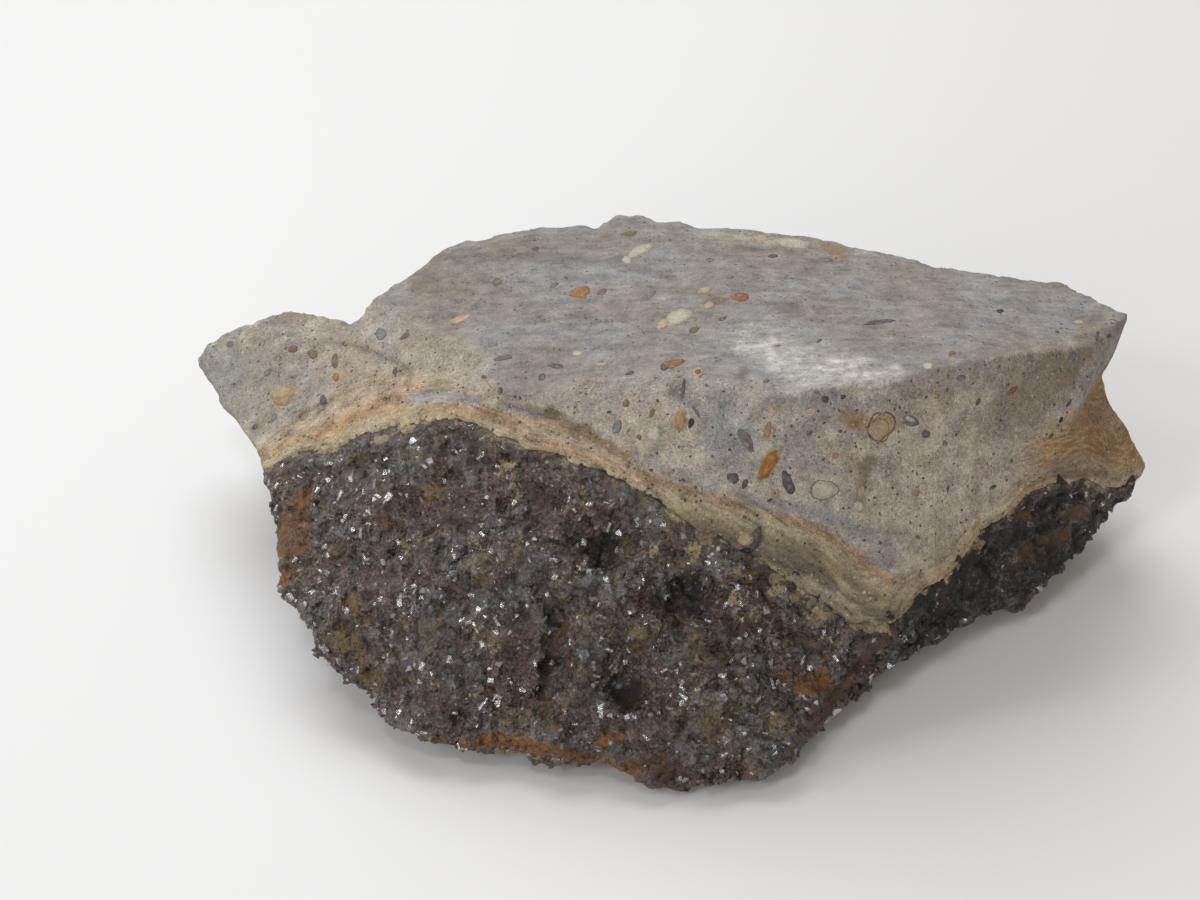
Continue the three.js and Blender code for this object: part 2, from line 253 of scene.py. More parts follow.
def neighbourMean(edges, values):
    count = len(values)
    ends = np.concatenate([edges[:, 0], edges[:, 1]])
    others = np.concatenate([edges[:, 1], edges[:, 0]])
    totals = np.bincount(ends, minlength=count).clip(1)[:, None]
    sums = [np.bincount(ends, weights=column[others], minlength=count) for column in values.T]
    return np.stack(sums, axis=1) / totals


# Evens out the surface without shrinking it: each pass pulls in, then pushes out a little more.
def evenOut(mesh, passes, weights):
    edges = edgesOf(mesh)
    places = placesOf(mesh)
    for _ in range(passes):
        for pull in (0.5, -0.52):
            places += pull * weights[:, None] * (neighbourMean(edges, places) - places)
    setPlaces(mesh, places)


# Smooth random heights, from about -1 to 1, over features of a size in mm.
def waves(places, size, start, octaves=1):
    shift = Vector((start, -start, 2 * start))
    return np.array([noise.fractal(Vector(place) / size + shift, 0.6, 2.0, octaves) for place in places])


def storeOnPoints(mesh, name, values):
    attribute = mesh.attributes.new(name, "FLOAT", "POINT")
    attribute.data.foreach_set("value", values.astype(np.float32))


def storeColours(mesh, name, colours):
    attribute = mesh.attributes.new(name, "FLOAT_COLOR", "POINT")
    attribute.data.foreach_set("color", np.asarray(colours, dtype=np.float32).ravel())


def distanceToLine(across, down, pixels):
    nearest = np.full(len(across), 1e6)
    for (startX, startY), (endX, endY) in zip(pixels, pixels[1:]):
        alongX, alongY = endX - startX, endY - startY
        share = ((across - startX) * alongX + (down - startY) * alongY) / (alongX**2 + alongY**2)
        share = share.clip(0, 1)
        away = np.hypot(across - startX - share * alongX, down - startY - share * alongY)
        nearest = np.minimum(nearest, away)
    return nearest


# Stores the colour and cover of soft stains and painted shade on the points that the camera sees. A stain or a
# painted shadow is (colour, pixel, length, width, turn, strength) and a streak (colour, width, strength, pixels
# along it), with lengths in mm.
def storeStainsAndShade(mesh, stainsAndShadows, streaks, inks):
    places = placesOf(mesh)
    across, down = pixelsOf(places)
    seen = normalsOf(mesh) @ np.array(viewAhead) < 0.05
    ragged = waves(places, 1.7, 5.5, 3)
    masks = []
    for ink, (x, y), length, width, turn, strength in stainsAndShadows:
        turned = math.radians(turn)
        right, up = (across - x) / pixelsPerMm, (y - down) / pixelsPerMm
        along = right * math.cos(turned) + up * math.sin(turned)
        aside = up * math.cos(turned) - right * math.sin(turned)
        reach = np.hypot(along * 2 / length, aside * 2 / width) + ragged * 0.45
        masks.append((ink, (strength * smoothStep(1.3, 0.6, reach)).clip(0, 1)))
    for ink, width, strength, pixels in streaks:
        reach = distanceToLine(across, down, pixels) / pixelsPerMm + ragged * 0.3
        masks.append((ink, strength * smoothStep(0.8, 0.25, reach / width)))
    colours = np.full((len(places), 3), 0.2)
    cover = np.zeros(len(places))
    for ink, mask in masks:
        mask = mask * seen
        both = mask + cover * (1 - mask)
        share = (mask / both.clip(1e-6))[:, None]
        colours = np.array(inks[ink][:3]) * share + colours * (1 - share)
        cover = both
    storeColours(mesh, "stain", np.column_stack([colours, cover]))
    return cover


def treeOf(mesh):
    shape = bmesh.new()
    shape.from_mesh(mesh)
    tree = BVHTree.FromBMesh(shape)
    shape.free()
    return tree


# How far each place is from the other solid in mm, and the way there.
def gapTo(tree, places):
    nearest = np.array([tree.find_nearest(Vector(place) * mm)[0] for place in places]) / mm
    way = nearest - places
    gap = np.linalg.norm(way, axis=1)
    return gap, way / gap.clip(1e-6)[:, None]


# Points in mm along the edges that are sharper than an angle.
def sharpLines(mesh, angle, step=0.6):
    shape = bmesh.new()
    shape.from_mesh(mesh)
    points = []
    for edge in shape.edges:
        if len(edge.link_faces) == 2 and edge.calc_face_angle() > math.radians(angle):
            first, second = (vertex.co / mm for vertex in edge.verts)
            count = max(2, math.ceil((second - first).length / step))
            points += [first.lerp(second, i / (count - 1)) for i in range(count)]
    shape.free()
    return kdTreeOf(points)


def kdTreeOf(points):
    tree = KDTree(len(points))
    for i, point in enumerate(points):
        tree.insert(point, i)
    tree.balance()
    return tree


def distancesTo(tree, places):
    return np.array([tree.find(place)[2] for place in places])


# The place and the normal of the stone under a pixel, or under the nearest pixel above it that has stone.
def spotUnder(tree, pixel):
    for lift in range(0, 30, 3):
        place, normal, _, _ = tree.ray_cast(viewEye, rayThrough((pixel[0], pixel[1] - lift)))
        if place is not None:
            return place, normal
    raise ValueError(f"nothing of the stone lies near pixel {pixel}")


# Geometry Nodes that strew shapes over a surface, each turned and scaled its own way.
def strewnTree():
    tree = bpy.data.node_groups.new("strewn", "GeometryNodeTree")
    sockets = [
        ("Geometry", "NodeSocketGeometry"),
        ("Shapes", "NodeSocketCollection"),
        ("Share", "NodeSocketString"),
        ("Spacing", "NodeSocketFloat"),
        ("Density", "NodeSocketFloat"),
        ("Smallest", "NodeSocketFloat"),
        ("Largest", "NodeSocketFloat"),
        ("Sink", "NodeSocketFloat"),
        ("Upright", "NodeSocketFloat"),
        ("Seed", "NodeSocketInt"),
        ("Material", "NodeSocketMaterial"),
    ]
    for name, kind in sockets:
        tree.interface.new_socket(name=name, in_out="INPUT", socket_type=kind)
    tree.interface.new_socket(name="Geometry", in_out="OUTPUT", socket_type="NodeSocketGeometry")

    def add(kind, settings=None, values=None):
        node = tree.nodes.new(kind)
        for name, setting in (settings or {}).items():
            setattr(node, name, setting)
        for name, value in (values or {}).items():
            if isinstance(value, bpy.types.NodeSocket):
                tree.links.new(value, node.inputs[name])
            else:
                node.inputs[name].default_value = value
        return node

    given = add("NodeGroupInput").outputs
    share = add("GeometryNodeInputNamedAttribute", {"data_type": "FLOAT"}, {"Name": given["Share"]})
    points = add(
        "GeometryNodeDistributePointsOnFaces",
        {"distribute_method": "POISSON"},
        {
            "Mesh": given["Geometry"],
            "Distance Min": given["Spacing"],
            "Density Max": given["Density"],
            "Density Factor": share.outputs[0],
            "Seed": given["Seed"],
        },
    )
    normal = points.outputs["Normal"]
    depth = add("ShaderNodeMath", {"operation": "MULTIPLY"}, {0: given["Sink"], 1: -1.0})
    sunk = add("ShaderNodeVectorMath", {"operation": "SCALE"}, {0: normal, 3: depth.outputs[0]})
    lowered = {"Geometry": points.outputs["Points"], "Offset": sunk.outputs[0]}
    moved = add("GeometryNodeSetPosition", None, lowered)
    spin = add("FunctionNodeRandomValue", {"data_type": "FLOAT_VECTOR"}, {1: (6.28, 6.28, 6.28), 8: 1})
    turn = add(
        "FunctionNodeAlignRotationToVector",
        {"axis": "Z"},
        {"Rotation": spin.outputs[0], "Factor": given["Upright"], "Vector": normal},
    )
    chance = add("FunctionNodeRandomValue", {"data_type": "FLOAT"}, {8: 2})
    rarity = add("ShaderNodeMath", {"operation": "POWER"}, {0: chance.outputs[1], 1: 2.0})  # few large ones
    size = add("ShaderNodeMapRange", None, {0: rarity.outputs[0], 3: given["Smallest"], 4: given["Largest"]})
    shapes = add(
        "GeometryNodeCollectionInfo",
        None,
        {"Collection": given["Shapes"], "Separate Children": True, "Reset Children": True},
    )
    placed = add(
        "GeometryNodeInstanceOnPoints",
        None,
        {
            "Points": moved.outputs[0],
            "Instance": shapes.outputs[0],
            "Pick Instance": True,
            "Rotation": turn.outputs[0],
            "Scale": size.outputs[0],
        },
    )
    tone = add("FunctionNodeRandomValue", {"data_type": "FLOAT"}, {8: 3})
    toned = add(
        "GeometryNodeStoreNamedAttribute",
        {"data_type": "FLOAT", "domain": "INSTANCE"},
        {"Geometry": placed.outputs[0], "Name": "grain", "Value": tone.outputs[1]},
    )
    real = add("GeometryNodeRealizeInstances", None, {"Geometry": toned.outputs[0]})
    painted = add("GeometryNodeSetMaterial", None, {"Geometry": real.outputs[0], "Material": given["Material"]})
    add("NodeGroupOutput", None, {0: painted.outputs[0]})
    return tree


# Adds a shape to a collection that is strewn, and frees the shape.
def addShape(collection, name, shape):
    mesh = bpy.data.meshes.new(name)
    shape.to_mesh(mesh)
    shape.free()
    collection.objects.link(bpy.data.objects.new(name, mesh))
    return mesh


def strew(name, surface, wanted, shapes, material):
    holder = pieceOf(name + "Holder", surface.data.copy())
    tree = strewnTree()
    modifier = holder.modifiers.new("Strewn", "NODES")
    modifier.node_group = tree
    values = {
        "Shapes": shapes,
        "Share": wanted["share"],
        "Spacing": wanted["spacing"] * mm,
        "Density": wanted["density"] / mm**2,
        "Smallest": wanted["smallest"],
        "Largest": wanted["largest"],
        "Sink": wanted["sink"] * mm,
        "Upright": wanted["upright"],
        "Seed": wanted["seed"],
        "Material": material,
    }
    for item in tree.interface.items_tree:
        if item.in_out == "INPUT" and item.name in values:
            modifier[item.identifier] = values[item.name]
    mesh = evaluatedMesh(holder)
    bpy.data.objects.remove(holder)
    mesh.name = name
    return pieceOf(name, mesh)


# Floor, camera and light: lengths in metres, powers in watts.
studio = {
    "floorSize": 3.0,
    "floorColour": (0.67, 0.665, 0.67, 1),
    "skyColour": (1.0, 0.90, 0.80, 1),
    "skyStrength": 0.36,
}
lamps = {
    "window": {"place": (-0.22, 0.74, 0.84), "size": (0.9, 0.7), "power": 10.6, "colour": (0.94, 0.98, 1.0)},
    "fill": {"place": (-0.40, -0.95, 0.42), "size": (0.9, 0.5), "power": 3.6, "colour": (1.0, 0.97, 0.93)},
    "sparkle": {"place": (-0.55, -0.50, 0.65), "size": (0.16, 0.16), "power": 1.8, "colour": (0.90, 0.95, 1.0)},
    "glimmer": {"place": (-0.15, -0.25, 1.0), "size": (0.14, 0.14), "power": 1.1, "colour": (0.93, 0.96, 1.0)},
    "glint": {"place": (-0.75, 0.05, 0.5), "size": (0.14, 0.14), "power": 1.0, "colour": (0.93, 0.96, 1.0)},
}


def makeStudio():
    bpy.ops.mesh.primitive_plane_add(size=studio["floorSize"])
    floor = bpy.context.object
    floor.name = "floor"
    graph = Graph("floorPaint")
    floor.data.materials.append(
        graph.shade({"Base Color": studio["floorColour"], "Roughness": 0.45, "Specular IOR Level": 0.3})
    )

    world = bpy.data.worlds.new("sky")
    bpy.context.scene.world = world
    world.use_nodes = True
    background = world.node_tree.nodes["Background"]
    background.inputs["Color"].default_value = studio["skyColour"]
    background.inputs["Strength"].default_value = studio["skyStrength"]

    for name, wanted in lamps.items():
        light = bpy.data.lights.new(name, "AREA")
        light.shape = "RECTANGLE"
        light.size, light.size_y = wanted["size"]
        light.energy = wanted["power"]
        light.color = wanted["colour"]
        lamp = bpy.data.objects.new(name, light)
        lamp.location = wanted["place"]
        lamp.rotation_euler = (-Vector(lamp.location)).to_track_quat("-Z", "Y").to_euler()
        bpy.context.scene.collection.objects.link(lamp)

    camera = bpy.data.objects.new("camera", bpy.data.cameras.new("camera"))
    camera.data.lens = view["lens"]
    camera.data.sensor_width = view["sensor"]
    camera.location = viewEye
    camera.rotation_euler = Euler((math.pi / 2 - viewTilt, 0, 0))
    bpy.context.scene.collection.objects.link(camera)
    bpy.context.scene.camera = camera
    bpy.context.scene.view_settings.view_transform = "Standard"


makeStudio()
print("studio and camera are in place")

# Limestone: lengths in millimetres, angles in degrees. A swell or grain is (height, size).
cap = {
    "voxel": 0.45,
    "sharpAngle": 27,
    "sharpReach": (0.5, 3.0),
    "passes": 70,
    "swells": [(0.30, 9.0), (0.16, 3.4), (0.07, 1.3)],
    "hackle": (0.55, 5.0),
    "chips": (0.5, 2.6, 1.4),
    "facesBack": (0.15, 0.5),
    "facesSide": (0.8, 0.5),
    "exposedFrom": (0.4, 1.6),
    "seamFill": 0.22,
    "seamReach": (0.9, 0.35),
    "facesView": 0.05,
    "facesUp": 0.45,
    "unseen": -9,  # mm from the crest and the bands where the camera sees neither
    "crumbShares": (0.12, 0.16, 0.6),  # on the top, on the other seen sides and on the rest
    "crumbsFrom": (1.0, 2.0),
    "crumbsAbove": (0.8, 1.6),
    "dustWaves": (1.6, 2.4),
    "dustReach": (3.4, 0.6),
    "tanFacing": (0.15, 0.5),
    "tanFrom": (38, 46),
    "tanBelow": (28, 24),
}

# Pixels along the lower edge of the smooth grey top, and along the upper edge of the banded tongue.
crestLine = [
    (371, 240), (372, 300), (430, 327), (470, 345), (496, 370), (505, 396), (545, 390), (600, 378),
    (690, 373), (740, 382), (800, 388), (880, 388), (960, 368), (1040, 345), (1130, 316),
]
bandLine = [
    (620, 466), (690, 490), (760, 509), (800, 520), (838, 539), (868, 562), (893, 580), (930, 578), (1010, 530),
]

stone = {
    "topGrey": srgb(135, 131, 129),
    "topBrown": srgb(129, 122, 115),
    "frontGrey": srgb(154, 148, 139),
    "frontBeige": srgb(157, 147, 131),
    "lilac": srgb(140, 134, 133),
    "cream": srgb(178, 171, 156),
    "dust": srgb(196, 192, 187),
    "tan": srgb(174, 150, 112),
    "darkTan": srgb(134, 104, 66),
    "speck": srgb(74, 66, 60),
    "paleGrain": srgb(196, 188, 172),
    "bruise": [(757, 345), (775, 356), (800, 368), (840, 372), (885, 380)],
}

# Colours of the limestone's fossils, stains and bands.
inks = {
    "amber": srgb(130, 90, 40),
    "rust": srgb(112, 72, 44),
    "orange": srgb(138, 110, 78),
    "salmon": srgb(158, 134, 114),
    "tan": srgb(146, 130, 104),
    "cream": srgb(159, 151, 136),
    "chalk": srgb(176, 167, 153),
    "pale": srgb(158, 154, 142),
    "charcoal": srgb(70, 66, 68),
    "slate": srgb(98, 95, 96),
    "black": srgb(44, 40, 40),
    "brown": srgb(98, 78, 60),
    "olive": srgb(92, 82, 54),
    "plum": srgb(90, 80, 84),
    "crack": srgb(62, 48, 34),
    "blueGrey": srgb(130, 130, 131),
    "umber": srgb(112, 100, 86),
    "straw": srgb(140, 127, 96),
    "peach": srgb(156, 128, 102),
    "sand": srgb(156, 146, 124),
    "lobeGrey": srgb(134, 128, 119),
    "shadow": srgb(106, 100, 96),
    "ore": srgb(60, 52, 52),
}

# Soft stains, and painted shade where the ink is shadow: colour, pixel, length and width in mm, turn in degrees
# and strength.
stainsAndShadows = [
    ("umber", (1035, 392), 15, 6, 42, 0.6),
    ("umber", (1085, 345), 9, 3, 62, 0.6),
    ("orange", (857, 421), 3.4, 2.6, -20, 0.75),
    ("rust", (853, 424), 1.6, 1.2, -20, 0.6),
    ("peach", (1100, 415), 8, 3, 10, 0.7),
    ("lobeGrey", (262, 380), 15, 11, 10, 0.75),
    # Painted shade in blue-grey beside the notch.
    ("blueGrey", (722, 428), 9, 7, 80, 0.6),
    ("shadow", (684, 390), 3.4, 2.0, 82, 0.5),
    ("sand", (640, 436), 13, 4, -22, 0.3),
    ("sand", (448, 356), 10, 6, -30, 0.4),
    ("sand", (478, 388), 5, 4, -60, 0.4),
    ("blueGrey", (225, 372), 6, 5, 80, 0.4),
    ("tan", (345, 360), 9, 7, -20, 0.35),
    ("umber", (290, 318), 6, 1.4, 5, 0.5),
    ("chalk", (945, 475), 15, 13, 20, 0.55),
    ("chalk", (688, 458), 5, 3, -10, 0.6),
    ("chalk", (792, 496), 5, 2.4, -10, 0.5),
    ("sand", (930, 540), 10, 4, 30, 0.3),
    ("umber", (866, 462), 2.6, 2.2, 80, 0.5),
    ("umber", (535, 246), 22, 2.6, 4, 0.35),
    ("umber", (425, 270), 6, 6, 60, 0.35),
    ("sand", (760, 240), 14, 1.6, -6, 0.6),
    ("umber", (1090, 322), 8, 1.6, -12, 0.3),
    ("umber", (450, 278), 9, 6, 20, 0.35),
    # Painted shade on the middle of the lobe, and a painted shadow by the top's crest.
    ("umber", (436, 338), 6, 3, 0, 0.3),
    ("shadow", (600, 342), 10, 2.5, 0, 0.25),
    # Painted shade low on the knob, beside the ore's edge.
    ("straw", (1072, 468), 6, 1.6, -8, 0.6),
    ("umber", (1085, 474), 7, 1.4, -4, 0.8),
    ("shadow", (744, 375), 1.4, 2.4, 0, 0.7),
    ("plum", (783, 306), 4.4, 1.5, -14, 0.5),
    ("brown", (716, 301), 3.4, 0.9, 12, 0.6),
    ("olive", (951, 325), 3.6, 0.9, -8, 0.4),
    ("orange", (838, 252), 3.6, 1.4, -22, 0.7),
    ("olive", (583, 433), 3.4, 1.7, -15, 0.75),
    ("olive", (552, 414), 2.5, 1.6, -15, 0.85),
    ("ore", (758, 534), 2.1, 1.1, 80, 0.95),
    ("ore", (754, 546), 1.8, 1.0, 50, 0.95),
]

# Soft streaks, and a painted shadow under the step on the top: colour, width in mm, strength and the pixels
# that they follow.
streaks = [
    ("peach", 1.4, 0.6, [(308, 442), (330, 429), (365, 412), (392, 400), (412, 386)]),
    ("orange", 0.6, 0.45, [(318, 436), (345, 420), (372, 407), (398, 393)]),
    ("blueGrey", 1.4, 0.8, [(412, 399), (440, 396), (474, 401)]),
    ("peach", 1.0, 0.6, [(420, 414), (448, 409), (484, 412)]),
    ("orange", 0.6, 0.5, [(428, 411), (455, 407)]),
    ("peach", 1.0, 0.7, [(508, 418), (540, 421), (585, 433), (628, 455)]),
    ("blueGrey", 1.0, 0.8, [(505, 407), (535, 415)]),
    ("olive", 1.0, 0.5, [(533, 408), (556, 416), (590, 433), (612, 446)]),
    ("orange", 0.8, 0.7, [(640, 474), (664, 482), (694, 495)]),
    ("peach", 1.1, 0.6, [(720, 503), (768, 512), (806, 524), (842, 546), (870, 568), (892, 584)]),
    ("orange", 0.6, 0.5, [(800, 521), (840, 544), (868, 567)]),
    ("blueGrey", 1.5, 0.8, [(752, 503), (800, 508), (842, 521), (872, 537)]),
    ("straw", 0.8, 0.8, [(826, 562), (844, 586), (866, 601), (902, 606)]),
    ("straw", 0.7, 0.6, [(902, 606), (932, 594), (966, 562)]),
    ("sand", 1.1, 0.7, [(925, 560), (946, 549), (966, 533)]),
    ("umber", 1.3, 0.7, [(868, 460), (862, 480), (859, 504)]),
    ("shadow", 1.0, 0.55, [(440, 256), (480, 258), (574, 258), (619, 263), (670, 277)]),
    ("umber", 0.8, 0.6, [(322, 342), (345, 344), (368, 350), (390, 359), (411, 371), (408, 386)]),
    ("straw", 0.9, 0.4, [(484, 378), (499, 400), (494, 420)]),
    ("umber", 0.7, 0.5, [(500, 401), (545, 417), (575, 430), (625, 458)]),
]

# Hollows in the limestone: pixel, radius and depth in mm.
capHollows = [
    ((681, 388), 1.5, 0.7),
    ((743, 376), 1.0, 0.35),
    ((691, 423), 0.7, 0.4),
    ((745, 484), 0.6, 0.25),
    ((582, 433), 1.4, 0.3),
    ((551, 414), 1.0, 0.3),
    ((768, 464), 1.2, 0.15),
    ((881, 426), 1.3, 0.18),
]


def hollowOut(places, tree, hollows):
    depths = np.zeros(len(places))
    for pixel, radius, depth in hollows:
        away = np.linalg.norm(places - np.array(spotUnder(tree, pixel)[0]) / mm, axis=1) / radius
        depths += depth * (1 - away**2).clip(0)
    return depths


def makeLimestone():
    rough = mergedCopy("limestone")
    mesh = remeshed("limestoneCap", "limestone", cap["voxel"])
    places = placesOf(mesh)
    nearSharp = distancesTo(sharpLines(rough, cap["sharpAngle"]), places)
    evenOut(mesh, cap["passes"], smoothStep(*cap["sharpReach"], nearSharp))
    evenOut(mesh, 2, np.ones(len(places)))

    places = placesOf(mesh)
    normals = normalsOf(mesh)
    oreTree = treeOf(mergedCopy("sphalerite"))
    gap, way = gapTo(oreTree, places)
    height = sum(tall * waves(places, size, 2.3 * size) for tall, size in cap["swells"])
    tall, size = cap["hackle"]
    facesBack = smoothStep(*cap["facesBack"], normals[:, 1]) * smoothStep(*cap["facesSide"], normals[:, 2])
    height += tall * facesBack * (0.4 - 2.2 * np.abs(waves(places, size, 7.7, 3)))
    tall, size, reach = cap["chips"]
    height -= tall * smoothStep(reach, 0, nearSharp) * waves(places, size, 4.1, 2).clip(0)
    height -= hollowOut(places, treeOf(mesh), capHollows)
    exposed = smoothStep(*cap["exposedFrom"], gap)
    places = places + normals * (height * exposed)[:, None]
    places += way * (cap["seamFill"] * smoothStep(*cap["seamReach"], gap))[:, None]
    setPlaces(mesh, places)

    gap, _ = gapTo(oreTree, places)
    storeOnPoints(mesh, "overOre", gap)
    across, down = pixelsOf(places)
    isSeen = normals @ np.array(viewAhead) < -cap["facesView"]
    isUp = (normals[:, 2] > cap["facesUp"]) & isSeen
    rise = np.interp(across, *zip(*crestLine)) - down
    besideCrest = isUp | ((rise < 0) & isSeen)
    storeOnPoints(mesh, "aboveCrest", np.where(besideCrest, rise / pixelsPerMm, cap["unseen"]))
    drop = (down - np.interp(across, *zip(*bandLine))) / pixelsPerMm
    storeOnPoints(mesh, "underBand", np.where(isSeen, drop, cap["unseen"]))
    storeStainsAndShade(mesh, stainsAndShadows, streaks, inks)
    onTop, onSeen, onRest = cap["crumbShares"]
    share = np.where(isUp & (rise > 0), onTop, np.where(isSeen, onSeen, onRest))
    share = share * smoothStep(*cap["crumbsFrom"], gap) * smoothStep(*cap["crumbsAbove"], places[:, 2])
    storeOnPoints(mesh, "crumbShare", share)
    tall, size = cap["dustWaves"]
    bruised = distanceToLine(across, down, stone["bruise"]) / pixelsPerMm + waves(places, size, 8.8, 3) * tall
    storeOnPoints(mesh, "dust", smoothStep(*cap["dustReach"], bruised) * isUp)
    tanSide = smoothStep(*cap["tanFacing"], normals[:, 0]) * smoothStep(*cap["tanFrom"], places[:, 0])
    storeOnPoints(mesh, "tanSide", tanSide * smoothStep(*cap["tanBelow"], places[:, 2]))
    mesh.shade_smooth()
    return pieceOf("limestoneCap", mesh)


limestone = makeLimestone()
limestoneTree = treeOf(limestone.data)
print(f"limestone: {len(limestone.data.polygons)} faces")

# Thin cracks: width in mm and the pixels that they follow.
cracks = [
    (0.22, [(334, 343), (352, 345), (370, 350), (384, 357), (398, 364), (411, 371)]),
    (0.28, [(484, 378), (491, 388), (499, 400), (497, 410), (493, 420), (491, 438)]),
    (0.3, [(499, 400), (509, 405), (520, 408), (532, 413), (545, 416), (559, 420)]),
    (0.2, [(560, 422), (566, 434), (566, 447)]),
    (0.16, [(1000, 312), (1016, 311), (1036, 313)]),
    (0.2, [(1010, 332), (1034, 337), (1057, 341)]),
    (0.18, [(984, 344), (998, 346), (1010, 349)]),
    (0.14, [(880, 345), (905, 346), (930, 350)]),
    (0.14, [(960, 336), (990, 339), (1015, 345)]),
    (0.12, [(1035, 326), (1060, 329), (1085, 331)]),
    (0.12, [(640, 330), (668, 334), (700, 336)]),
    (0.12, [(700, 268), (730, 270), (760, 275)]),
    (0.12, [(783, 298), (802, 296), (820, 294)]),
    (0.14, [(576, 270), (584, 276), (592, 284)]),
]

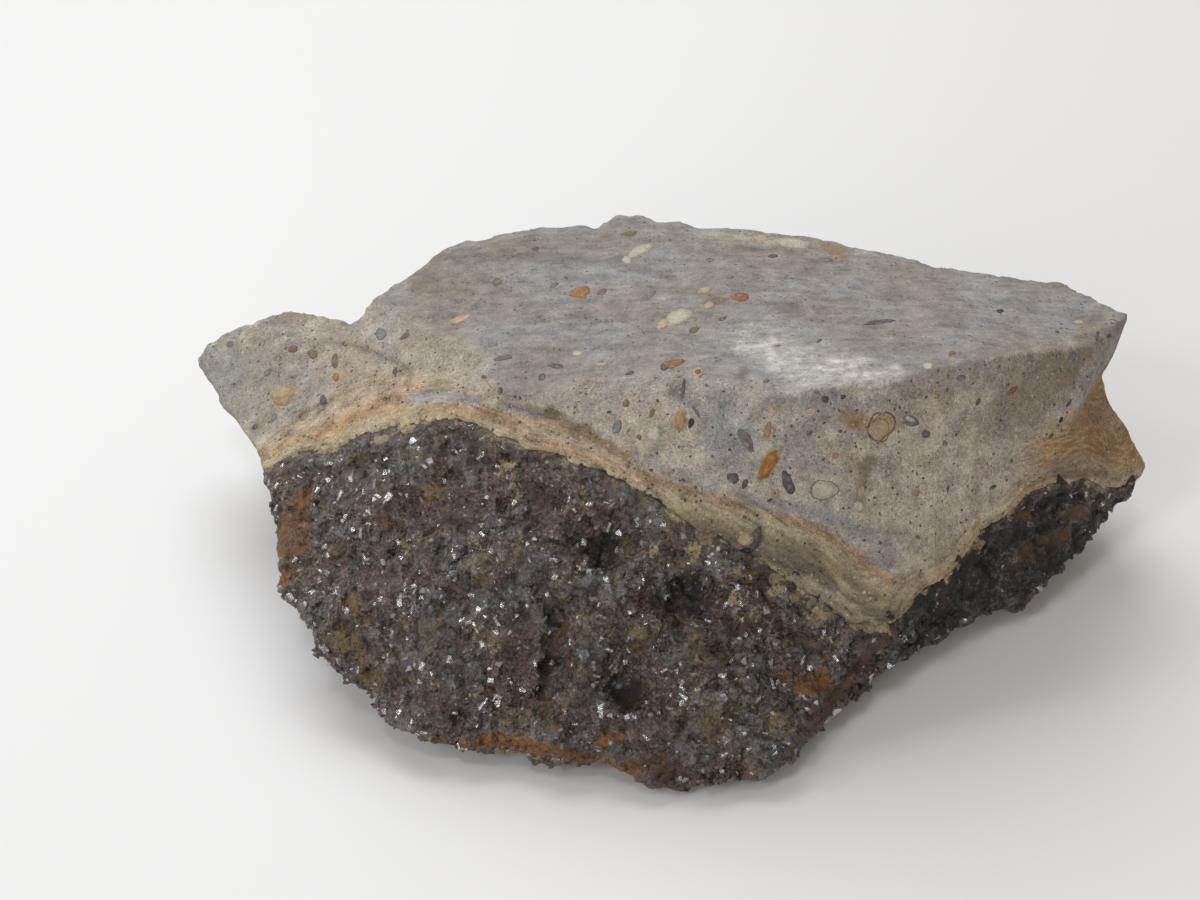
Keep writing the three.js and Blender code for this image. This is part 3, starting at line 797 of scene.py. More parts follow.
# Fossils with a place of their own: colour, pixel, length and width in mm as the camera sees them, and turn.
fossils = [
    # top plane
    ("amber", (580, 292), 3.1, 1.3, 18),
    ("olive", (629, 234), 2.0, 0.8, 10),
    ("brown", (497, 282), 1.4, 0.9, 20),
    ("slate", (554, 285), 1.3, 0.6, 30),
    ("brown", (602, 292), 1.4, 0.7, 20),
    ("slate", (649, 296), 2.0, 0.8, 33),
    ("salmon", (663, 324), 1.8, 1.2, 27),
    ("cream", (678, 317), 4.0, 1.7, 27),
    ("olive", (694, 330), 1.4, 0.8, 15),
    ("charcoal", (722, 319), 1.1, 0.5, 15),
    ("rust", (740, 297), 2.3, 1.3, 0),
    ("tan", (709, 305), 1.7, 0.9, 20),
    ("tan", (705, 290), 2.0, 0.8, 20),
    ("charcoal", (879, 322), 4.0, 0.6, 6),
    ("cream", (641, 250), 4.2, 1.1, 25),
    ("cream", (627, 260), 1.3, 1.0, 0),
    ("rust", (672, 364), 3.3, 1.1, 17),
    ("charcoal", (665, 367), 1.3, 0.8, 17),
    ("salmon", (698, 372), 1.6, 1.2, 0),
    ("rust", (698, 372), 0.9, 0.7, 0),
    ("charcoal", (556, 366), 1.9, 0.7, -6),
    ("charcoal", (542, 377), 1.2, 0.8, 30),
    ("salmon", (600, 364), 1.6, 0.5, 0),
    ("cream", (577, 353), 1.3, 0.7, 10),
    ("slate", (595, 348), 1.3, 0.5, 10),
    ("charcoal", (630, 373), 1.2, 0.5, 10),
    ("slate", (491, 345), 2.0, 0.5, 8),
    ("plum", (503, 358), 2.4, 0.7, 12),
    ("salmon", (460, 319), 2.8, 0.9, 18),
    ("slate", (459, 301), 1.2, 0.6, 10),
    ("slate", (474, 308), 0.9, 0.5, 10),
    ("charcoal", (535, 249), 1.0, 0.6, 20),
    ("charcoal", (819, 341), 0.8, 0.4, 25),
    ("brown", (710, 260), 1.0, 0.5, 0),
    ("charcoal", (773, 256), 1.3, 0.5, 0),
    ("slate", (825, 260), 2.4, 0.5, 0),
    ("slate", (729, 277), 1.2, 0.5, 0),
    ("black", (1000, 311), 1.0, 0.5, 10),
    ("tan", (1079, 322), 1.5, 0.5, 0),
    ("rust", (952, 353), 0.8, 0.6, 0),
    ("cream", (928, 366), 1.2, 1.0, 0),
    ("slate", (1072, 357), 1.6, 0.9, 80),
    ("charcoal", (1097, 336), 1.3, 0.5, 80),
    ("charcoal", (1109, 336), 0.7, 0.5, 40),
    # back edge
    ("tan", (761, 238), 2.2, 0.9, 0),
    ("cream", (793, 243), 5.0, 1.2, -10),
    # left lobe
    ("orange", (283, 395), 3.2, 2.7, 0),
    ("tan", (279, 392), 2.5, 2.0, 0),
    ("brown", (293, 349), 1.3, 1.0, 0),
    ("brown", (335, 361), 2.0, 0.9, 80),
    ("amber", (336, 377), 1.3, 0.8, 80),
    ("brown", (313, 354), 1.4, 1.2, 0),
    ("charcoal", (323, 400), 1.5, 0.8, 82),
    ("slate", (274, 417), 1.2, 0.8, 70),
    ("charcoal", (255, 427), 1.0, 0.6, 30),
    ("slate", (268, 372), 1.4, 0.7, 35),
    ("charcoal", (395, 371), 1.1, 0.6, 80),
    ("slate", (381, 334), 1.8, 1.3, 70),
    ("brown", (405, 336), 1.7, 0.6, 35),
    ("slate", (230, 344), 1.2, 0.8, 20),
    ("charcoal", (484, 377), 0.6, 0.5, 0),
    # front face
    ("slate", (746, 440), 3.4, 1.5, -65),
    ("brown", (748, 444), 1.8, 0.5, -65),
    ("orange", (768, 430), 2.1, 0.9, 78),
    ("tan", (768, 465), 4.8, 2.3, 55),
    ("amber", (768, 465), 4.3, 1.8, 55),
    ("rust", (766, 473), 1.5, 1.1, 55),
    ("charcoal", (788, 483), 3.1, 1.5, -68),
    ("charcoal", (733, 478), 1.6, 1.5, 0),
    ("charcoal", (745, 484), 1.3, 0.8, 60),
    ("tan", (680, 420), 3.4, 1.9, 85),
    ("orange", (680, 420), 2.9, 1.3, 85),
    ("black", (691, 423), 1.5, 0.7, 70),
    ("pale", (654, 434), 1.9, 1.7, 0),
    ("brown", (652, 413), 1.4, 0.6, 65),
    ("slate", (617, 427), 2.1, 1.1, 70),
    ("slate", (639, 437), 0.7, 0.6, 0),
    ("black", (609, 412), 0.6, 0.35, 0),
    ("charcoal", (683, 390), 3.2, 0.5, 84),
    ("plum", (696, 411), 1.8, 0.4, -60),
    ("salmon", (772, 410), 1.5, 0.8, -50),
    ("slate", (911, 421), 2.2, 1.4, -28),
    ("pale", (910, 419), 1.3, 0.7, -28),
    ("plum", (926, 434), 1.2, 1.0, 0),
    ("slate", (945, 443), 0.8, 0.5, -50),
    ("orange", (936, 396), 0.8, 0.7, 0),
    ("orange", (916, 493), 0.9, 0.8, 0),
    ("brown", (809, 433), 0.8, 0.7, 30),
    ("salmon", (811, 411), 1.6, 0.8, 0),
    ("orange", (835, 456), 0.9, 0.8, 0),
    ("tan", (861, 492), 1.5, 1.0, 80),
    ("pale", (859, 506), 1.4, 1.2, 0),
    ("charcoal", (843, 397), 0.8, 0.6, 0),
    ("rust", (1012, 391), 1.7, 0.7, 38),
    ("charcoal", (978, 402), 0.9, 0.6, 60),
    ("slate", (961, 378), 1.2, 0.8, 0),
    ("cream", (964, 480), 1.6, 1.2, 60),
    ("salmon", (989, 472), 1.2, 0.7, 80),
    ("charcoal", (948, 489), 1.2, 0.2, 85),
    ("orange", (1058, 380), 0.9, 0.8, 0),
    ("black", (1069, 403), 1.1, 0.4, 55),
    ("black", (1061, 420), 0.8, 0.5, 60),
    ("charcoal", (1051, 436), 0.8, 0.5, 60),
    ("black", (770, 500), 0.9, 0.3, 25),
    ("charcoal", (683, 480), 0.7, 0.35, -10),
    ("charcoal", (651, 470), 0.6, 0.4, 0),
    ("tan", (775, 493), 1.1, 1.0, 0),
    ("brown", (775, 493), 0.4, 0.4, 0),
    ("rust", (918, 537), 0.6, 0.5, 0),
    ("tan", (880, 428), 3.7, 3.1, 70),
    ("pale", (824, 490), 3.4, 2.2, 17),
    # tongue of banded rock over the ore
    ("charcoal", (758, 534), 1.9, 0.9, 80),
    ("charcoal", (754, 546), 1.4, 0.6, 55),
    ("tan", (745, 539), 1.9, 1.6, 0),
]

# Thin rings of shell: colour, pixel, length, width, turn and the share of the radius that the shell takes.
shells = [
    ("plum", (824, 490), 3.6, 2.4, 17, 0.16),
    ("rust", (881, 426), 4.0, 3.4, 70, 0.26),
    ("amber", (879, 430), 3.2, 2.6, 70, 0.2),
    ("charcoal", (825, 294), 1.3, 0.9, 0, 0.2),
    ("salmon", (910, 453), 1.0, 0.9, 0, 0.24),
    ("pale", (473, 358), 3.0, 2.4, 80, 0.18),
    ("cream", (874, 427), 1.6, 1.2, 60, 0.3),
]

# How the inlaid fossils lie in the surface: lengths in millimetres.
inlay = {
    "segments": 18,
    "lift": 0.035,
    "overlapLift": 0.03,
    "dip": 0.10,
    "depth": 0.3,
    "unevenness": 0.19,
    "seed": 7,
}


# Collects the points, faces and colours of many small inlays.
class Inlays:
    def __init__(self, tree):
        self.tree = tree
        self.points = []
        self.faces = []
        self.colours = []
        self.middles = []
        self.random = np.random.default_rng(inlay["seed"])

    # Lays a point on the stone under a pixel, and lifts it off by some millimetres.
    def addPoint(self, pixel, spot, reach, lift, ink, tone=1.0):
        middle, normal = spot
        ray = rayThrough(pixel)
        place, facing, _, _ = self.tree.ray_cast(viewEye, ray)
        if place is None or (place - middle).length > reach * mm:
            ahead = (middle - viewEye).dot(normal) / min(ray.dot(normal), -0.1)
            place, facing, _, _ = self.tree.find_nearest(viewEye + ray * ahead)
        self.points.append(place + facing * lift * mm)
        self.colours.append([level * tone for level in inks[ink][:3]] + [1])
        return len(self.points) - 1

    # One round of points at a share of an oval's radius, counter-clockwise for the camera.
    def addRound(self, oval, wobble, share, lift):
        ink, pixel, length, width, turn, spot = oval
        turned = math.radians(turn)
        row = []
        for i in range(inlay["segments"]):
            angle = 2 * math.pi * i / inlay["segments"]
            bend = sum(inlay["unevenness"] / order * math.sin(order * angle + start) for order, start in wobble)
            along = math.cos(angle) * length / 2 * share * (1 + bend)
            aside = math.sin(angle) * width / 2 * share * (1 + bend)
            x = pixel[0] + (along * math.cos(turned) - aside * math.sin(turned)) * pixelsPerMm
            y = pixel[1] - (along * math.sin(turned) + aside * math.cos(turned)) * pixelsPerMm
            row.append(self.addPoint((x, y), spot, length + 0.6, lift, ink, 1.15 - 0.5 * share**4))
        return row

    def joinRows(self, first, second):
        count = len(first)
        for i in range(count):
            after = (i + 1) % count
            self.faces.append((first[i], first[after], second[after], second[i]))

    def start(self, ink, pixel, length, width, turn):
        spot = spotUnder(self.tree, pixel)
        wobble = [(order, self.random.uniform(0, 6.28)) for order in (2, 3, 5, 7)]
        below = sum((spot[0] - middle).length < length * 0.5 * mm for middle in self.middles)
        self.middles.append(spot[0])
        lift = inlay["lift"] + inlay["overlapLift"] * below
        return (ink, pixel, length, width, turn, spot), wobble, lift

    def addFossil(self, *mark):
        oval, wobble, lift = self.start(*mark)
        ink, pixel, length, _, _, spot = oval
        top = self.addPoint(pixel, spot, length + 0.6, lift, ink, 1.15)
        levels = ((0.5, lift), (0.86, lift * 0.8), (1.0, -inlay["dip"]))
        rows = [self.addRound(oval, wobble, *level) for level in levels]
        bottom = self.addPoint(pixel, spot, length + 0.6, -inlay["depth"], ink)
        for i in range(inlay["segments"]):
            after = (i + 1) % inlay["segments"]
            self.faces.append((top, rows[0][i], rows[0][after]))
            self.faces.append((bottom, rows[2][after], rows[2][i]))
        self.joinRows(rows[1], rows[0])
        self.joinRows(rows[2], rows[1])

    def addShell(self, *mark):
        oval, wobble, lift = self.start(*mark[:-1])
        line = mark[-1]
        dip, depth = -inlay["dip"], -inlay["depth"]
        section = ((1.0, dip), (1 - line / 2, lift), (1 - line, dip), (1 - line / 2, depth))
        rows = [self.addRound(oval, wobble, *corner) for corner in section]
        for first, second in zip(rows, rows[1:] + rows[:1]):
            self.joinRows(first, second)

    def addCrack(self, width, pixels):
        stations = []
        for (startX, startY), (endX, endY) in zip(pixels, pixels[1:]):
            length = math.hypot(endX - startX, endY - startY)
            side = Vector((startY - endY, endX - startX)) / length
            count = max(2, round(length / 3.5))
            for i in range(count):
                sway = self.random.normal() * 0.6
                x = startX + (endX - startX) * i / count + side.x * sway
                y = startY + (endY - startY) * i / count + side.y * sway
                stations.append((x, y, side))
        stations.append((*pixels[-1], side))
        rows = []
        for i, (x, y, side) in enumerate(stations):
            slim = 0.25 if i in (0, len(stations) - 1) else self.random.uniform(0.6, 1.2)
            half = width / 2 * slim * pixelsPerMm
            spot = spotUnder(self.tree, (x, y))
            corners = ((half, -inlay["dip"]), (0, 0.02), (-half, -inlay["dip"]), (0, -inlay["depth"]))
            rows.append(
                [
                    self.addPoint((x + side.x * offset, y + side.y * offset), spot, 1, lift, "crack")
                    for offset, lift in corners
                ]
            )
        for first, second in zip(rows, rows[1:]):
            for i in range(4):
                after = (i + 1) % 4
                self.faces.append((first[i], first[after], second[after], second[i]))
        self.faces.append(tuple(reversed(rows[0])))
        self.faces.append(tuple(rows[-1]))

    def mesh(self, name):
        mesh = bpy.data.meshes.new(name)
        mesh.from_pydata(self.points, [], self.faces)
        storeColours(mesh, "ink", self.colours)
        shape = bmesh.new()
        shape.from_mesh(mesh)
        bmesh.ops.recalc_face_normals(shape, faces=shape.faces)
        shape.to_mesh(mesh)
        shape.free()
        mesh.shade_smooth()
        return mesh


# Bands beside the ore, from the contact (0) out to the plain rock (1).
rimBands = [
    (0.0, srgb(170, 158, 132)),
    (0.22, srgb(166, 154, 130)),
    (0.36, srgb(152, 132, 104)),
    (0.5, srgb(164, 140, 114)),
    (0.64, srgb(152, 140, 122)),
    (0.8, srgb(158, 140, 118)),
    (1.0, srgb(150, 142, 128)),
]
# Bands of the tongue, from 1 mm over its upper edge (0) down to 9 mm under it (1).
tongueBands = [
    (0.0, srgb(146, 142, 134)),
    (0.1, srgb(152, 134, 116)),
    (0.19, srgb(148, 134, 113)),
    (0.25, srgb(158, 148, 126)),
    (0.38, srgb(142, 132, 108)),
    (0.48, srgb(125, 113, 88)),
    (0.54, srgb(108, 100, 86)),
    (0.75, srgb(103, 95, 82)),
    (0.88, srgb(138, 128, 110)),
    (1.0, srgb(126, 114, 96)),
]


def limestoneFinish():
    graph = Graph("limestone")
    place = graph.add("ShaderNodeTexCoord", None, None, "Object")
    wobble = graph.vector("SUBTRACT", graph.noise(place, 1.1, 3, output="Color"), (0.5, 0.5, 0.5))
    uneven = graph.vector("ADD", place, graph.spread(wobble, 0.5 * mm))
    slow = graph.noise(place, 9, 3)
    cloudy = graph.noise(place, 2.2, 5, 0.62)
    grain = graph.noise(place, 0.42, 4, 0.8)
    fine = graph.noise(place, 0.2, 1, 0.5)
    onTop = (graph.attribute("aboveCrest") + (cloudy - 0.5) * 2.6).rise(-0.5, 0.5)

    turning = {"Vector": place, "Rotation": (0, 0, 0.25), "Scale": (0.16, 1, 1)}
    turned = graph.add("ShaderNodeMapping", None, turning)
    scratches = graph.noise(turned, 0.9, 4, 0.6)
    top = graph.mix(slow.rise(0.42, 0.6), stone["topGrey"], stone["topBrown"])
    front = graph.mix(slow.rise(0.42, 0.58), stone["frontGrey"], stone["frontBeige"])
    lilac = graph.noise(place, 3.4, 5, 0.65).rise(0.47, 0.62)
    front = graph.mix(lilac * 0.85, front, stone["lilac"])
    blotches = graph.noise(place, 1.6, 6, 0.7).rise(0.53, 0.68)
    front = graph.mix(blotches * 0.8, front, stone["cream"])
    greyed = (graph.attribute("aboveCrest") + (cloudy - 0.5) * 5).rise(-5.5, 0.5)
    colour = graph.mix(onTop.larger(greyed * 0.55), front, top)

    # Bands beside the ore follow the contact; those of the tongue run under its upper edge.
    axes = graph.add("ShaderNodeSeparateXYZ", None, {0: place}, "X")
    across = axes * (1 / mm)
    gap = graph.attribute("overOre")
    bandPlace = {0: across * 0.2, 1: axes.output("Y") * (0.2 / mm), 2: gap * 1.3}
    alongBands = graph.add("ShaderNodeCombineXYZ", None, bandPlace)
    layering = {"Vector": alongBands, "Scale": 1.6, "Detail": 6.0, "Roughness": 0.68}
    layers = graph.add("ShaderNodeTexNoise", None, layering)

    # Tan side and knob at the right.
    tanRock = graph.mix((layers * 0.7 + cloudy * 0.3).rise(0.42, 0.57), stone["tan"], stone["darkTan"])
    colour = graph.mix(graph.attribute("tanSide") * (0.7 + 0.3 * cloudy.rise(0.3, 0.55)), colour, tanRock)

    frayed = gap + (cloudy - 0.5) * 1.8 + (layers - 0.5) * 1.6
    reach = 2.9 + 0.8 * across.rise(-18, -30)
    rim = graph.add("ShaderNodeValToRGB", {"stops": rimBands}, {0: frayed / reach})
    colour = graph.mix((frayed / reach).rise(1.15, 0.8) * (1 - onTop), colour, rim)
    drop = graph.attribute("underBand") + (cloudy - 0.5) * 1.1 + (layers - 0.5) * 1.3
    tongue = graph.add("ShaderNodeValToRGB", {"stops": tongueBands}, {0: (drop + 1) / 9})
    inTongue = across.rise(-6, 4) * across.rise(36, 28) * drop.rise(-1, -0.3)
    colour = graph.mix(inTongue, colour, tongue)
    banded = (frayed / reach).rise(1.3, 0.7).larger(inTongue)

    # Stains, streaks and painted shadows, broken up by the grain.
    stain = graph.attribute("stain")
    cover = stain.output("Alpha") * (0.35 + cloudy + 0.3 * grain)
    colour = graph.mix(cover, colour, stain.output("Color"))

    # Dark ore that frays into the rim.
    lobes = (graph.noise(place, 2.2, 2, 0.5) - 0.5) * (4 + 5 * across.rise(-8, 4))
    frayedOre = (gap + lobes).rise(-0.15, -0.35)
    colour = graph.mix(frayedOre, colour, inks["ore"])

    # Dark pits and pale grains.
    specks = graph.cells(uneven, 0.62)
    speckKind = graph.add("ShaderNodeSeparateColor", None, {0: specks.output("Color")}, "Red")
    inSpeck = (specks.output("Distance") - speckKind.output("Blue") * 0.16).rise(0.2, 0.06)
    isSpeck = speckKind.rise(0.66, 0.8) * inSpeck
    isPale = speckKind.rise(0.42, 0.3) * inSpeck
    colour = graph.mix(isSpeck * (0.9 - 0.3 * onTop), colour, stone["speck"])
    colour = graph.mix(isPale * (0.4 - 0.2 * onTop), colour, stone["paleGrain"])

    # Dust on the bruised crest, in broken streaks.
    dust = graph.attribute("dust") * (0.35 + 0.65 * graph.noise(place, 1.4, 6, 0.75).rise(0.34, 0.66))
    colour = graph.mix(dust * 0.8, colour, stone["dust"])

    streaky = (scratches - 0.5) * onTop * 0.8 + (layers - 0.5) * banded * 2.4
    coarse = 1 - 0.4 * onTop
    tone = 1 + (cloudy - 0.5) * 1.5 + ((grain - 0.5) * 1.6 + (fine - 0.5) * 1.2) * coarse + streaky
    colour = graph.toned(colour, tone)

    rough = graph.noise(place, 0.9, 6, 0.75) * (0.26 - 0.14 * onTop)
    height = (rough + 0.06 * fine + 0.08 * scratches + 0.14 * layers * banded - 0.1 * isSpeck) * mm
    return graph.shade(
        {
            "Base Color": colour,
            "Roughness": 0.82 + 0.12 * dust,
            "Specular IOR Level": 0.35,
            "Normal": graph.bump(height),
        }
    )


def fossilFinish():
    graph = Graph("fossil")
    place = graph.add("ShaderNodeTexCoord", None, None, "Object")
    ink = graph.attribute("ink").output("Color")
    patchy = graph.noise(place, 0.8, 5, 0.7)
    colour = graph.mix(patchy.rise(0.5, 0.7) * 0.4, ink, stone["frontGrey"])
    tone = 1 + (patchy - 0.5) * 1.2 + (graph.noise(place, 0.3, 3, 0.7) - 0.5) * 1.2
    height = graph.noise(place, 0.4, 3, 0.6) * (0.12 * mm)
    return graph.shade(
        {
            "Base Color": graph.toned(colour, tone),
            "Roughness": 0.62,
            "Specular IOR Level": 0.4,
            "Normal": graph.bump(height),
        }
    )


# Small fossils strewn over every side: lengths in millimetres.
crumbs = {
    "share": "crumbShare",
    "spacing": 1.9,
    "density": 0.16,
    "smallest": 0.3,
    "largest": 1.15,
    "sink": 0.06,
    "upright": 1.0,
    "seed": 4,
    "inks": ["slate", "charcoal", "plum", "charcoal", "slate", "brown", "tan", "orange"],
}


def crumbShapes():
    random = np.random.default_rng(9)
    collection = bpy.data.collections.new("crumbShapes")
    for name, length, width in (("round", 1.0, 0.8), ("oval", 1.3, 0.6), ("rod", 1.6, 0.35)):
        shape = bmesh.new()
        bmesh.ops.create_icosphere(shape, subdivisions=2, radius=0.5)
        for vertex in shape.verts:
            swell = 1 + 0.12 * noise.noise(vertex.co * 2.5 + Vector(random.normal(size=3)) * 0.05)
            vertex.co = Vector((vertex.co.x * length, vertex.co.y * width, vertex.co.z * 0.24)) * swell * mm
        addShape(collection, name, shape).shade_smooth()
    return collection


def makeFossils():
    finish = fossilFinish()
    inlays = Inlays(limestoneTree)
    for fossil in fossils:
        inlays.addFossil(*fossil)
    for shell in shells:
        inlays.addShell(*shell)
    for crack in cracks:
        inlays.addCrack(*crack)
    placed = pieceOf("limestoneFossils", inlays.mesh("limestoneFossils"))
    placed.data.materials.append(finish)
    strewn = strew("limestoneCrumbs", limestone, crumbs, crumbShapes(), finish)
    tones = np.empty(len(strewn.data.vertices))
    strewn.data.attributes["grain"].data.foreach_get("value", tones)
    choices = np.array([inks[ink] for ink in crumbs["inks"]])
    storeColours(strewn.data, "ink", choices[(tones * len(choices)).astype(int).clip(0, len(choices) - 1)])
    strewn.data.shade_smooth()
    return placed, strewn


limestone.data.materials.append(limestoneFinish())
placedFossils, strewnFossils = makeFossils()
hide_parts("limestone")
for piece in (limestone, placedFossils, strewnFossils):
    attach(piece, "root")
print(f"fossils: {len(fossils)} ovals, {len(shells)} rings, {len(placedFossils.data.polygons)} faces, "
      f"and {len(strewnFossils.data.polygons)} faces of strewn ones")

# Sphalerite: lengths in millimetres.
ore = {
    "voxel": 0.45,
    "passes": 8,
    "lumps": [(0.9, 4.6), (0.26, 2.0)],
    "facetSize": 1.5,
    "facetTilt": 0.42,
    "facetStep": 0.24,
    "facetGlint": 0.62,
    "exposedFrom": (0.5, 1.5),
    "exposedAbove": (0.3, 1.5),
    "seamFill": 0.25,
    "seamReach": (0.9, 0.35),
    "worn": 0.6,  # share of the relief that the left half lacks
    "wornFrom": (8, -16),
    "crystalsFrom": (0.4, 0.9),
    "crystalsAbove": (0.9, 1.8),
    "stainedBare": 0.7,  # share of the crystals that a stained place lacks
    "seed": 11,
}

oreInks = {
    "rust": srgb(112, 74, 32),
    "darkRust": srgb(80, 55, 33),
    "calcite": srgb(138, 124, 96),
    "yellow": srgb(134, 118, 72),
    "earth": srgb(104, 86, 54),
    "rimRock": srgb(118, 105, 84),
    "shade": srgb(23, 18, 14),
    "night": srgb(57, 46, 40),
    "steel": srgb(85, 82, 81),
    "purple": srgb(92, 70, 65),
    "olive": srgb(102, 88, 62),
    # Painted shade for the ore's hollows.
    "hollowShade": srgb(30, 24, 22),
    # glint: a painted highlight mixed into the base colour, beside a real mirror through Metallic.
    "glint": srgb(232, 231, 232),
}
# Patches on the ore: colour, pixel, length and width in mm as the camera sees them, turn and strength. The
# shade patch and the hollow ones are painted shade, over the ore's shaded right side and in its hollows.
orePatches = [
    ("rust", (292, 535), 8.0, 4.0, 82, 1.0),
    ("rust", (286, 570), 4.4, 2.2, 80, 1.0),
    ("rust", (300, 500), 4.0, 2.6, 60, 1.0),
    ("rust", (432, 494), 2.4, 1.8, 40, 1.0),
    ("earth", (440, 500), 4.6, 2.2, -30, 0.6),
    ("rust", (388, 522), 1.8, 1.3, 20, 1.0),
    ("earth", (345, 640), 5.5, 3.4, -50, 0.75),
    ("earth", (372, 680), 6.0, 2.6, -48, 0.7),
    ("earth", (360, 610), 5.0, 1.8, -60, 0.7),
    ("rust", (812, 682), 4.4, 2.6, 20, 1.0),
    ("rust", (785, 676), 3.2, 1.4, 0, 1.0),
    ("darkRust", (547, 690), 6.4, 1.6, 84, 0.8),
    ("darkRust", (566, 668), 5.6, 0.9, 84, 0.8),
    ("rust", (515, 742), 8.4, 1.6, -8, 1.0),
    ("darkRust", (560, 752), 6.5, 1.4, -4, 0.8),
    ("darkRust", (655, 772), 8.6, 4.0, -12, 0.8),
    ("rust", (606, 738), 3.0, 1.6, 0, 1.0),
    ("darkRust", (630, 700), 3.2, 2.4, 20, 0.8),
    ("earth", (620, 560), 6.0, 2.0, 70, 0.6),
    ("calcite", (692, 553), 3.0, 2.0, 70, 0.9),
    ("calcite", (654, 552), 1.6, 1.0, 70, 0.9),
    ("calcite", (736, 597), 2.2, 1.8, 0, 0.9),
    ("calcite", (776, 590), 2.0, 1.5, 0, 0.9),
    ("earth", (752, 584), 3.6, 1.6, 80, 0.6),
    ("calcite", (757, 612), 2.2, 1.4, 30, 0.9),
    ("yellow", (503, 462), 2.0, 0.8, -62, 0.7),
    ("calcite", (511, 482), 2.2, 0.8, -55, 0.7),
    ("earth", (515, 500), 3.0, 0.6, 84, 0.6),
    ("darkRust", (870, 655), 7.5, 1.2, 40, 0.8),
    ("darkRust", (838, 690), 5.0, 1.2, 50, 0.8),
    ("darkRust", (1010, 512), 4.5, 1.2, -10, 0.8),
    ("rust", (1085, 508), 2.2, 0.8, -8, 1.0),
    ("darkRust", (985, 540), 4.0, 1.4, 35, 0.8),
    ("earth", (700, 640), 3.0, 2.0, 10, 0.6),
    ("earth", (640, 640), 3.6, 2.2, 30, 0.6),
    ("shade", (1000, 565), 32, 11, 30, 1.1),
    ("hollowShade", (606, 552), 4.6, 3.0, 60, 0.8),
    ("hollowShade", (690, 594), 4.6, 3.8, 20, 0.75),
    ("hollowShade", (700, 612), 3.0, 1.6, -30, 0.6),
    ("hollowShade", (660, 606), 3.4, 2.2, -30, 0.6),
    ("hollowShade", (628, 692), 4.8, 3.2, 20, 0.85),
    ("hollowShade", (552, 650), 6.6, 1.6, 82, 0.9),
    ("hollowShade", (730, 630), 4.0, 2.0, 20, 0.5),
    ("hollowShade", (520, 560), 3.0, 1.4, 60, 0.4),
    ("darkRust", (1040, 545), 9, 1.8, 28, 0.9),
    ("darkRust", (1075, 512), 5, 1.4, 10, 0.9),
    ("rust", (1013, 513), 3.6, 1.2, -10, 0.8),
    ("rimRock", (826, 604), 5.4, 4.0, -40, 1.2),
    ("calcite", (818, 616), 3.0, 1.3, -10, 1.0),
    ("rimRock", (846, 618), 4.6, 1.8, -18, 1.1),
]

oreStreaks = [
    ("yellow", 0.5, 0.9, [(492, 440), (497, 452), (503, 463), (500, 474)]),
    ("calcite", 0.6, 0.9, [(500, 456), (514, 468), (512, 482), (517, 496)]),
    ("darkRust", 0.9, 0.8, [(565, 625), (553, 650), (548, 690), (560, 740)]),
    ("darkRust", 1.3, 0.7, [(890, 632), (862, 662), (832, 700), (800, 740)]),
    ("rust", 1.2, 0.7, [(455, 742), (510, 744), (560, 752), (640, 775)]),
]

# Holes in the ore face: pixel, radius and depth in mm.
oreHollows = [
    ((605, 550), 2.4, 1.4),
    ((692, 590), 3.2, 1.3),
    ((628, 692), 2.8, 1.4),
    ((553, 640), 1.5, 1.6),
    ((549, 664), 1.5, 1.6),
    ((546, 688), 1.4, 1.4),
    ((553, 618), 1.2, 1.0),
]


def makeOre():
    mesh = remeshed("sphaleriteOre", "sphalerite", ore["voxel"])
    evenOut(mesh, ore["passes"], np.ones(len(mesh.vertices)))
    places = placesOf(mesh)
    normals = normalsOf(mesh)
    gap, way = gapTo(treeOf(mergedCopy("limestone")), places)
    exposed = smoothStep(*ore["exposedFrom"], gap) * smoothStep(*ore["exposedAbove"], places[:, 2])
    height = sum(tall * waves(places, size, 3.1 * size, 2) for tall, size in ore["lumps"])
    height *= 1 - ore["worn"] * smoothStep(*ore["wornFrom"], places[:, 0])
    height -= hollowOut(places, treeOf(mesh), oreHollows)
    places = places + normals * (height * exposed)[:, None]
    setPlaces(mesh, places)
    normals = normalsOf(mesh)

    # Breaks the surface into flat facets, each tilted its own way.
    random = np.random.default_rng(ore["seed"])
    area = sum(face.area for face in mesh.polygons) / mm**2
    seeds = random.choice(len(places), int(area / ore["facetSize"] ** 2), replace=False)
    tilts = normals[seeds] + ore["facetTilt"] * random.normal(size=(len(seeds), 3)) / math.sqrt(3)
    tilts /= np.linalg.norm(tilts, axis=1)[:, None]
    seedTree = kdTreeOf([Vector(places[i]) for i in seeds])
    owner = np.array([seedTree.find(place)[1] for place in places])
    across = ((places[seeds[owner]] - places) * tilts[owner]).sum(1)
    along = (normals * tilts[owner]).sum(1).clip(0.3)
    step = (across / along).clip(-ore["facetStep"], ore["facetStep"])
    places = places + normals * (step * exposed)[:, None]
    places += way * (ore["seamFill"] * smoothStep(*ore["seamReach"], gap))[:, None]
    places[:, 2] = places[:, 2].clip(0)
    setPlaces(mesh, places)

    storeOnPoints(mesh, "grain", ore["facetGlint"] * random.random(len(seeds))[owner])
    storeOnPoints(mesh, "toCap", gap)
    stained = storeStainsAndShade(mesh, orePatches, oreStreaks, oreInks)
    share = smoothStep(*ore["crystalsFrom"], gap) * smoothStep(*ore["crystalsAbove"], places[:, 2])
    storeOnPoints(mesh, "crystalShare", share * (1 - ore["stainedBare"] * stained))
    mesh.shade_flat()
    return pieceOf("sphaleriteOre", mesh)


sphalerite = makeOre()
print(f"sphalerite: {len(sphalerite.data.polygons)} faces")

# Cleavage flakes that crowd the ore: lengths in millimetres.
crystals = {
    "share": "crystalShare",
    "spacing": 0.53,
    "density": 4.2,
    "smallest": 0.32,
    "largest": 1.0,
    "sink": 0.08,
    "upright": 0.92,
    "seed": 5,
}


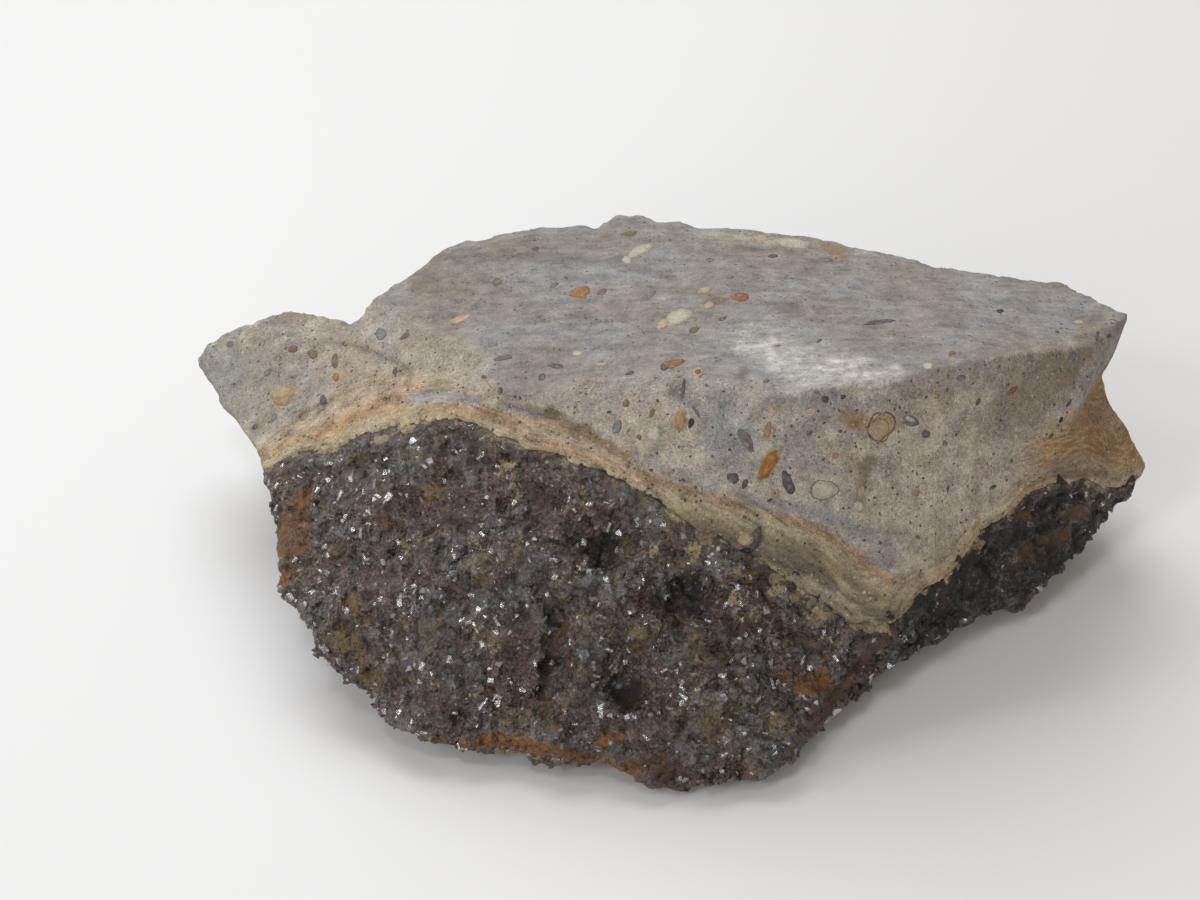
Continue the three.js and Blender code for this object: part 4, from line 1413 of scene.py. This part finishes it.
# A thick plate, a blade and a blunt tetrahedron, each about a millimetre long.
def crystalShapes():
    random = np.random.default_rng(2)
    plate = [(x, y, z) for x in (-0.5, 0.5) for y in (-0.38, 0.38) for z in (-0.16, 0.16)]
    blade = [(x, y, z) for x in (-0.6, 0.6) for y in (-0.16, 0.16) for z in (-0.15, 0.13)]
    corners = [(1, 1, 1), (-1, -1, 1), (-1, 1, -1), (1, -1, -1)]
    blunt = [
        [0.34 * tip + 0.12 * other for tip, other in zip(first, second)]
        for first in corners
        for second in corners
        if first != second
    ]
    collection = bpy.data.collections.new("crystalShapes")
    for name, points in (("plate", plate), ("blade", blade), ("blunt", blunt)):
        shape = bmesh.new()
        for point in points:
            shape.verts.new((Vector(point) + Vector(random.normal(size=3) * 0.05)) * mm)
        bmesh.ops.convex_hull(shape, input=shape.verts)
        bmesh.ops.recalc_face_normals(shape, faces=shape.faces)
        addShape(collection, name, shape)
    return collection


def sphaleriteFinish():
    graph = Graph("sphalerite")
    place = graph.add("ShaderNodeTexCoord", None, None, "Object")
    wobble = graph.vector("SUBTRACT", graph.noise(place, 1.8, 4, output="Color"), (0.5, 0.5, 0.5))
    uneven = graph.vector("ADD", place, graph.spread(wobble, 2.6 * mm))
    fine = graph.noise(place, 0.3, 3, 0.7)
    broad = graph.noise(place, 6, 3, 0.6)
    earthy = graph.noise(uneven, 4.5, 3, 0.6)
    patchy = graph.noise(place, 1.7, 4, 0.65)
    tinge = graph.noise(place, 1.5, 5, 0.75, output=1)
    hue = graph.add("ShaderNodeSeparateColor", None, {0: tinge}, "Red")

    # Fibres fan out from the middle of each cell.
    fans = graph.cells(uneven, 5)
    inFan = graph.vector("SUBTRACT", uneven, fans.output("Position"))
    ray = graph.vector("ADD", graph.vector("NORMALIZE", inFan), fans.output("Color"))
    combing = {"Vector": ray, "Scale": 20.0, "Detail": 3.0, "Roughness": 0.65}
    fibres = graph.add("ShaderNodeTexNoise", None, combing)

    isSteel = (hue + (broad - 0.5) * 0.8).rise(0.49, 0.61)
    isPurple = (hue.output("Green") - (broad - 0.5) * 0.8).rise(0.5, 0.6)
    isOlive = (hue.output("Blue") + (earthy - 0.5) * 0.8).rise(0.52, 0.65)
    colour = graph.mix(isSteel, oreInks["night"], oreInks["steel"])
    colour = graph.mix(isPurple * 0.85, colour, oreInks["purple"])
    colour = graph.mix(isOlive * 0.85, colour, oreInks["olive"])
    rusty = (patchy + (earthy - 0.5) * 0.5).rise(0.6, 0.7) * hue.rise(0.46, 0.54)
    colour = graph.mix(rusty * 0.65, colour, oreInks["darkRust"])
    # Patches: stains, plus the painted shade of the hollows and of the right side.
    stain = graph.attribute("stain")
    strength = stain.output("Alpha")
    cover = (strength * 1.1 + (patchy + fine - 1) * 4.5).rise(0.45, 1.0) * strength.rise(0, 0.2)
    colour = graph.mix(cover, colour, stain.output("Color"))

    # The pale rim frays into the ore.
    axes = graph.add("ShaderNodeSeparateXYZ", None, {0: place}, "X")
    across = axes * (1 / mm)
    lobes = (graph.noise(place, 2.2, 2, 0.5) - 0.5) * (4 + 5 * across.rise(-8, 4))
    pale = (graph.attribute("toCap") - lobes + (patchy - 0.5) * 3).rise(0.1, -0.1)
    colour = graph.mix(pale, colour, oreInks["calcite"])
    dull = (rusty * 0.7).larger(cover).larger(pale)
    tone = 1 + (fine - 0.5) * 2.6 + (fibres - 0.5) * 2.0 + (patchy - 0.5) * 1.4 + (broad - 0.5) * 1.4
    colour = graph.toned(colour, tone)

    # Small cleavage faces, each tilted its own way.
    flakes = graph.cells(place, 0.5)
    lean = graph.vector("SUBTRACT", flakes.output("Color"), (0.5, 0.5, 0.5))
    inFlake = graph.vector("SUBTRACT", place, flakes.output("Position"))
    tilted = graph.vector("DOT_PRODUCT", lean, inFlake, "Value")
    height = tilted * 1.1 + (0.10 * fine + 0.16 * fibres) * mm

    # Here and there a crystal or a bundle of fibres mirrors the light through Metallic, and a painted highlight
    # lightens its base colour towards the glint colour; more of them towards the upper left.
    crowd = graph.noise(place, 3.4, 3, 0.6)
    upperLeft = across.rise(-6, -34) * axes.output("Z").rise(12 * mm, 28 * mm)
    sheen = fibres.rise(0.52, 0.68) * crowd.rise(0.44, 0.6) * fine.rise(0.42, 0.6) * 0.6
    glints = (graph.attribute("grain") + (crowd - 0.5) * 0.7 + upperLeft * 0.07).rise(0.74, 0.96)
    glints = glints.larger(sheen) * (1 - dull)
    colour = graph.mix(glints, colour, oreInks["glint"])
    return graph.shade(
        {
            "Base Color": colour,
            "Metallic": glints,
            "Roughness": 0.08 + 0.3 * graph.noise(place, 0.7, 2) + 0.55 * dull,
            "IOR": 2.37,
            "Specular IOR Level": 0.17,
            "Normal": graph.bump(height),
        }
    )


oreFinish = sphaleriteFinish()
sphalerite.data.materials.append(oreFinish)
crystalCrowd = strew("sphaleriteCrystals", sphalerite, crystals, crystalShapes(), oreFinish)
crystalCrowd.data.shade_flat()
print(f"crystals: {len(crystalCrowd.data.polygons)} faces")
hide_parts("sphalerite")
for piece in (sphalerite, crystalCrowd):
    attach(piece, "root")
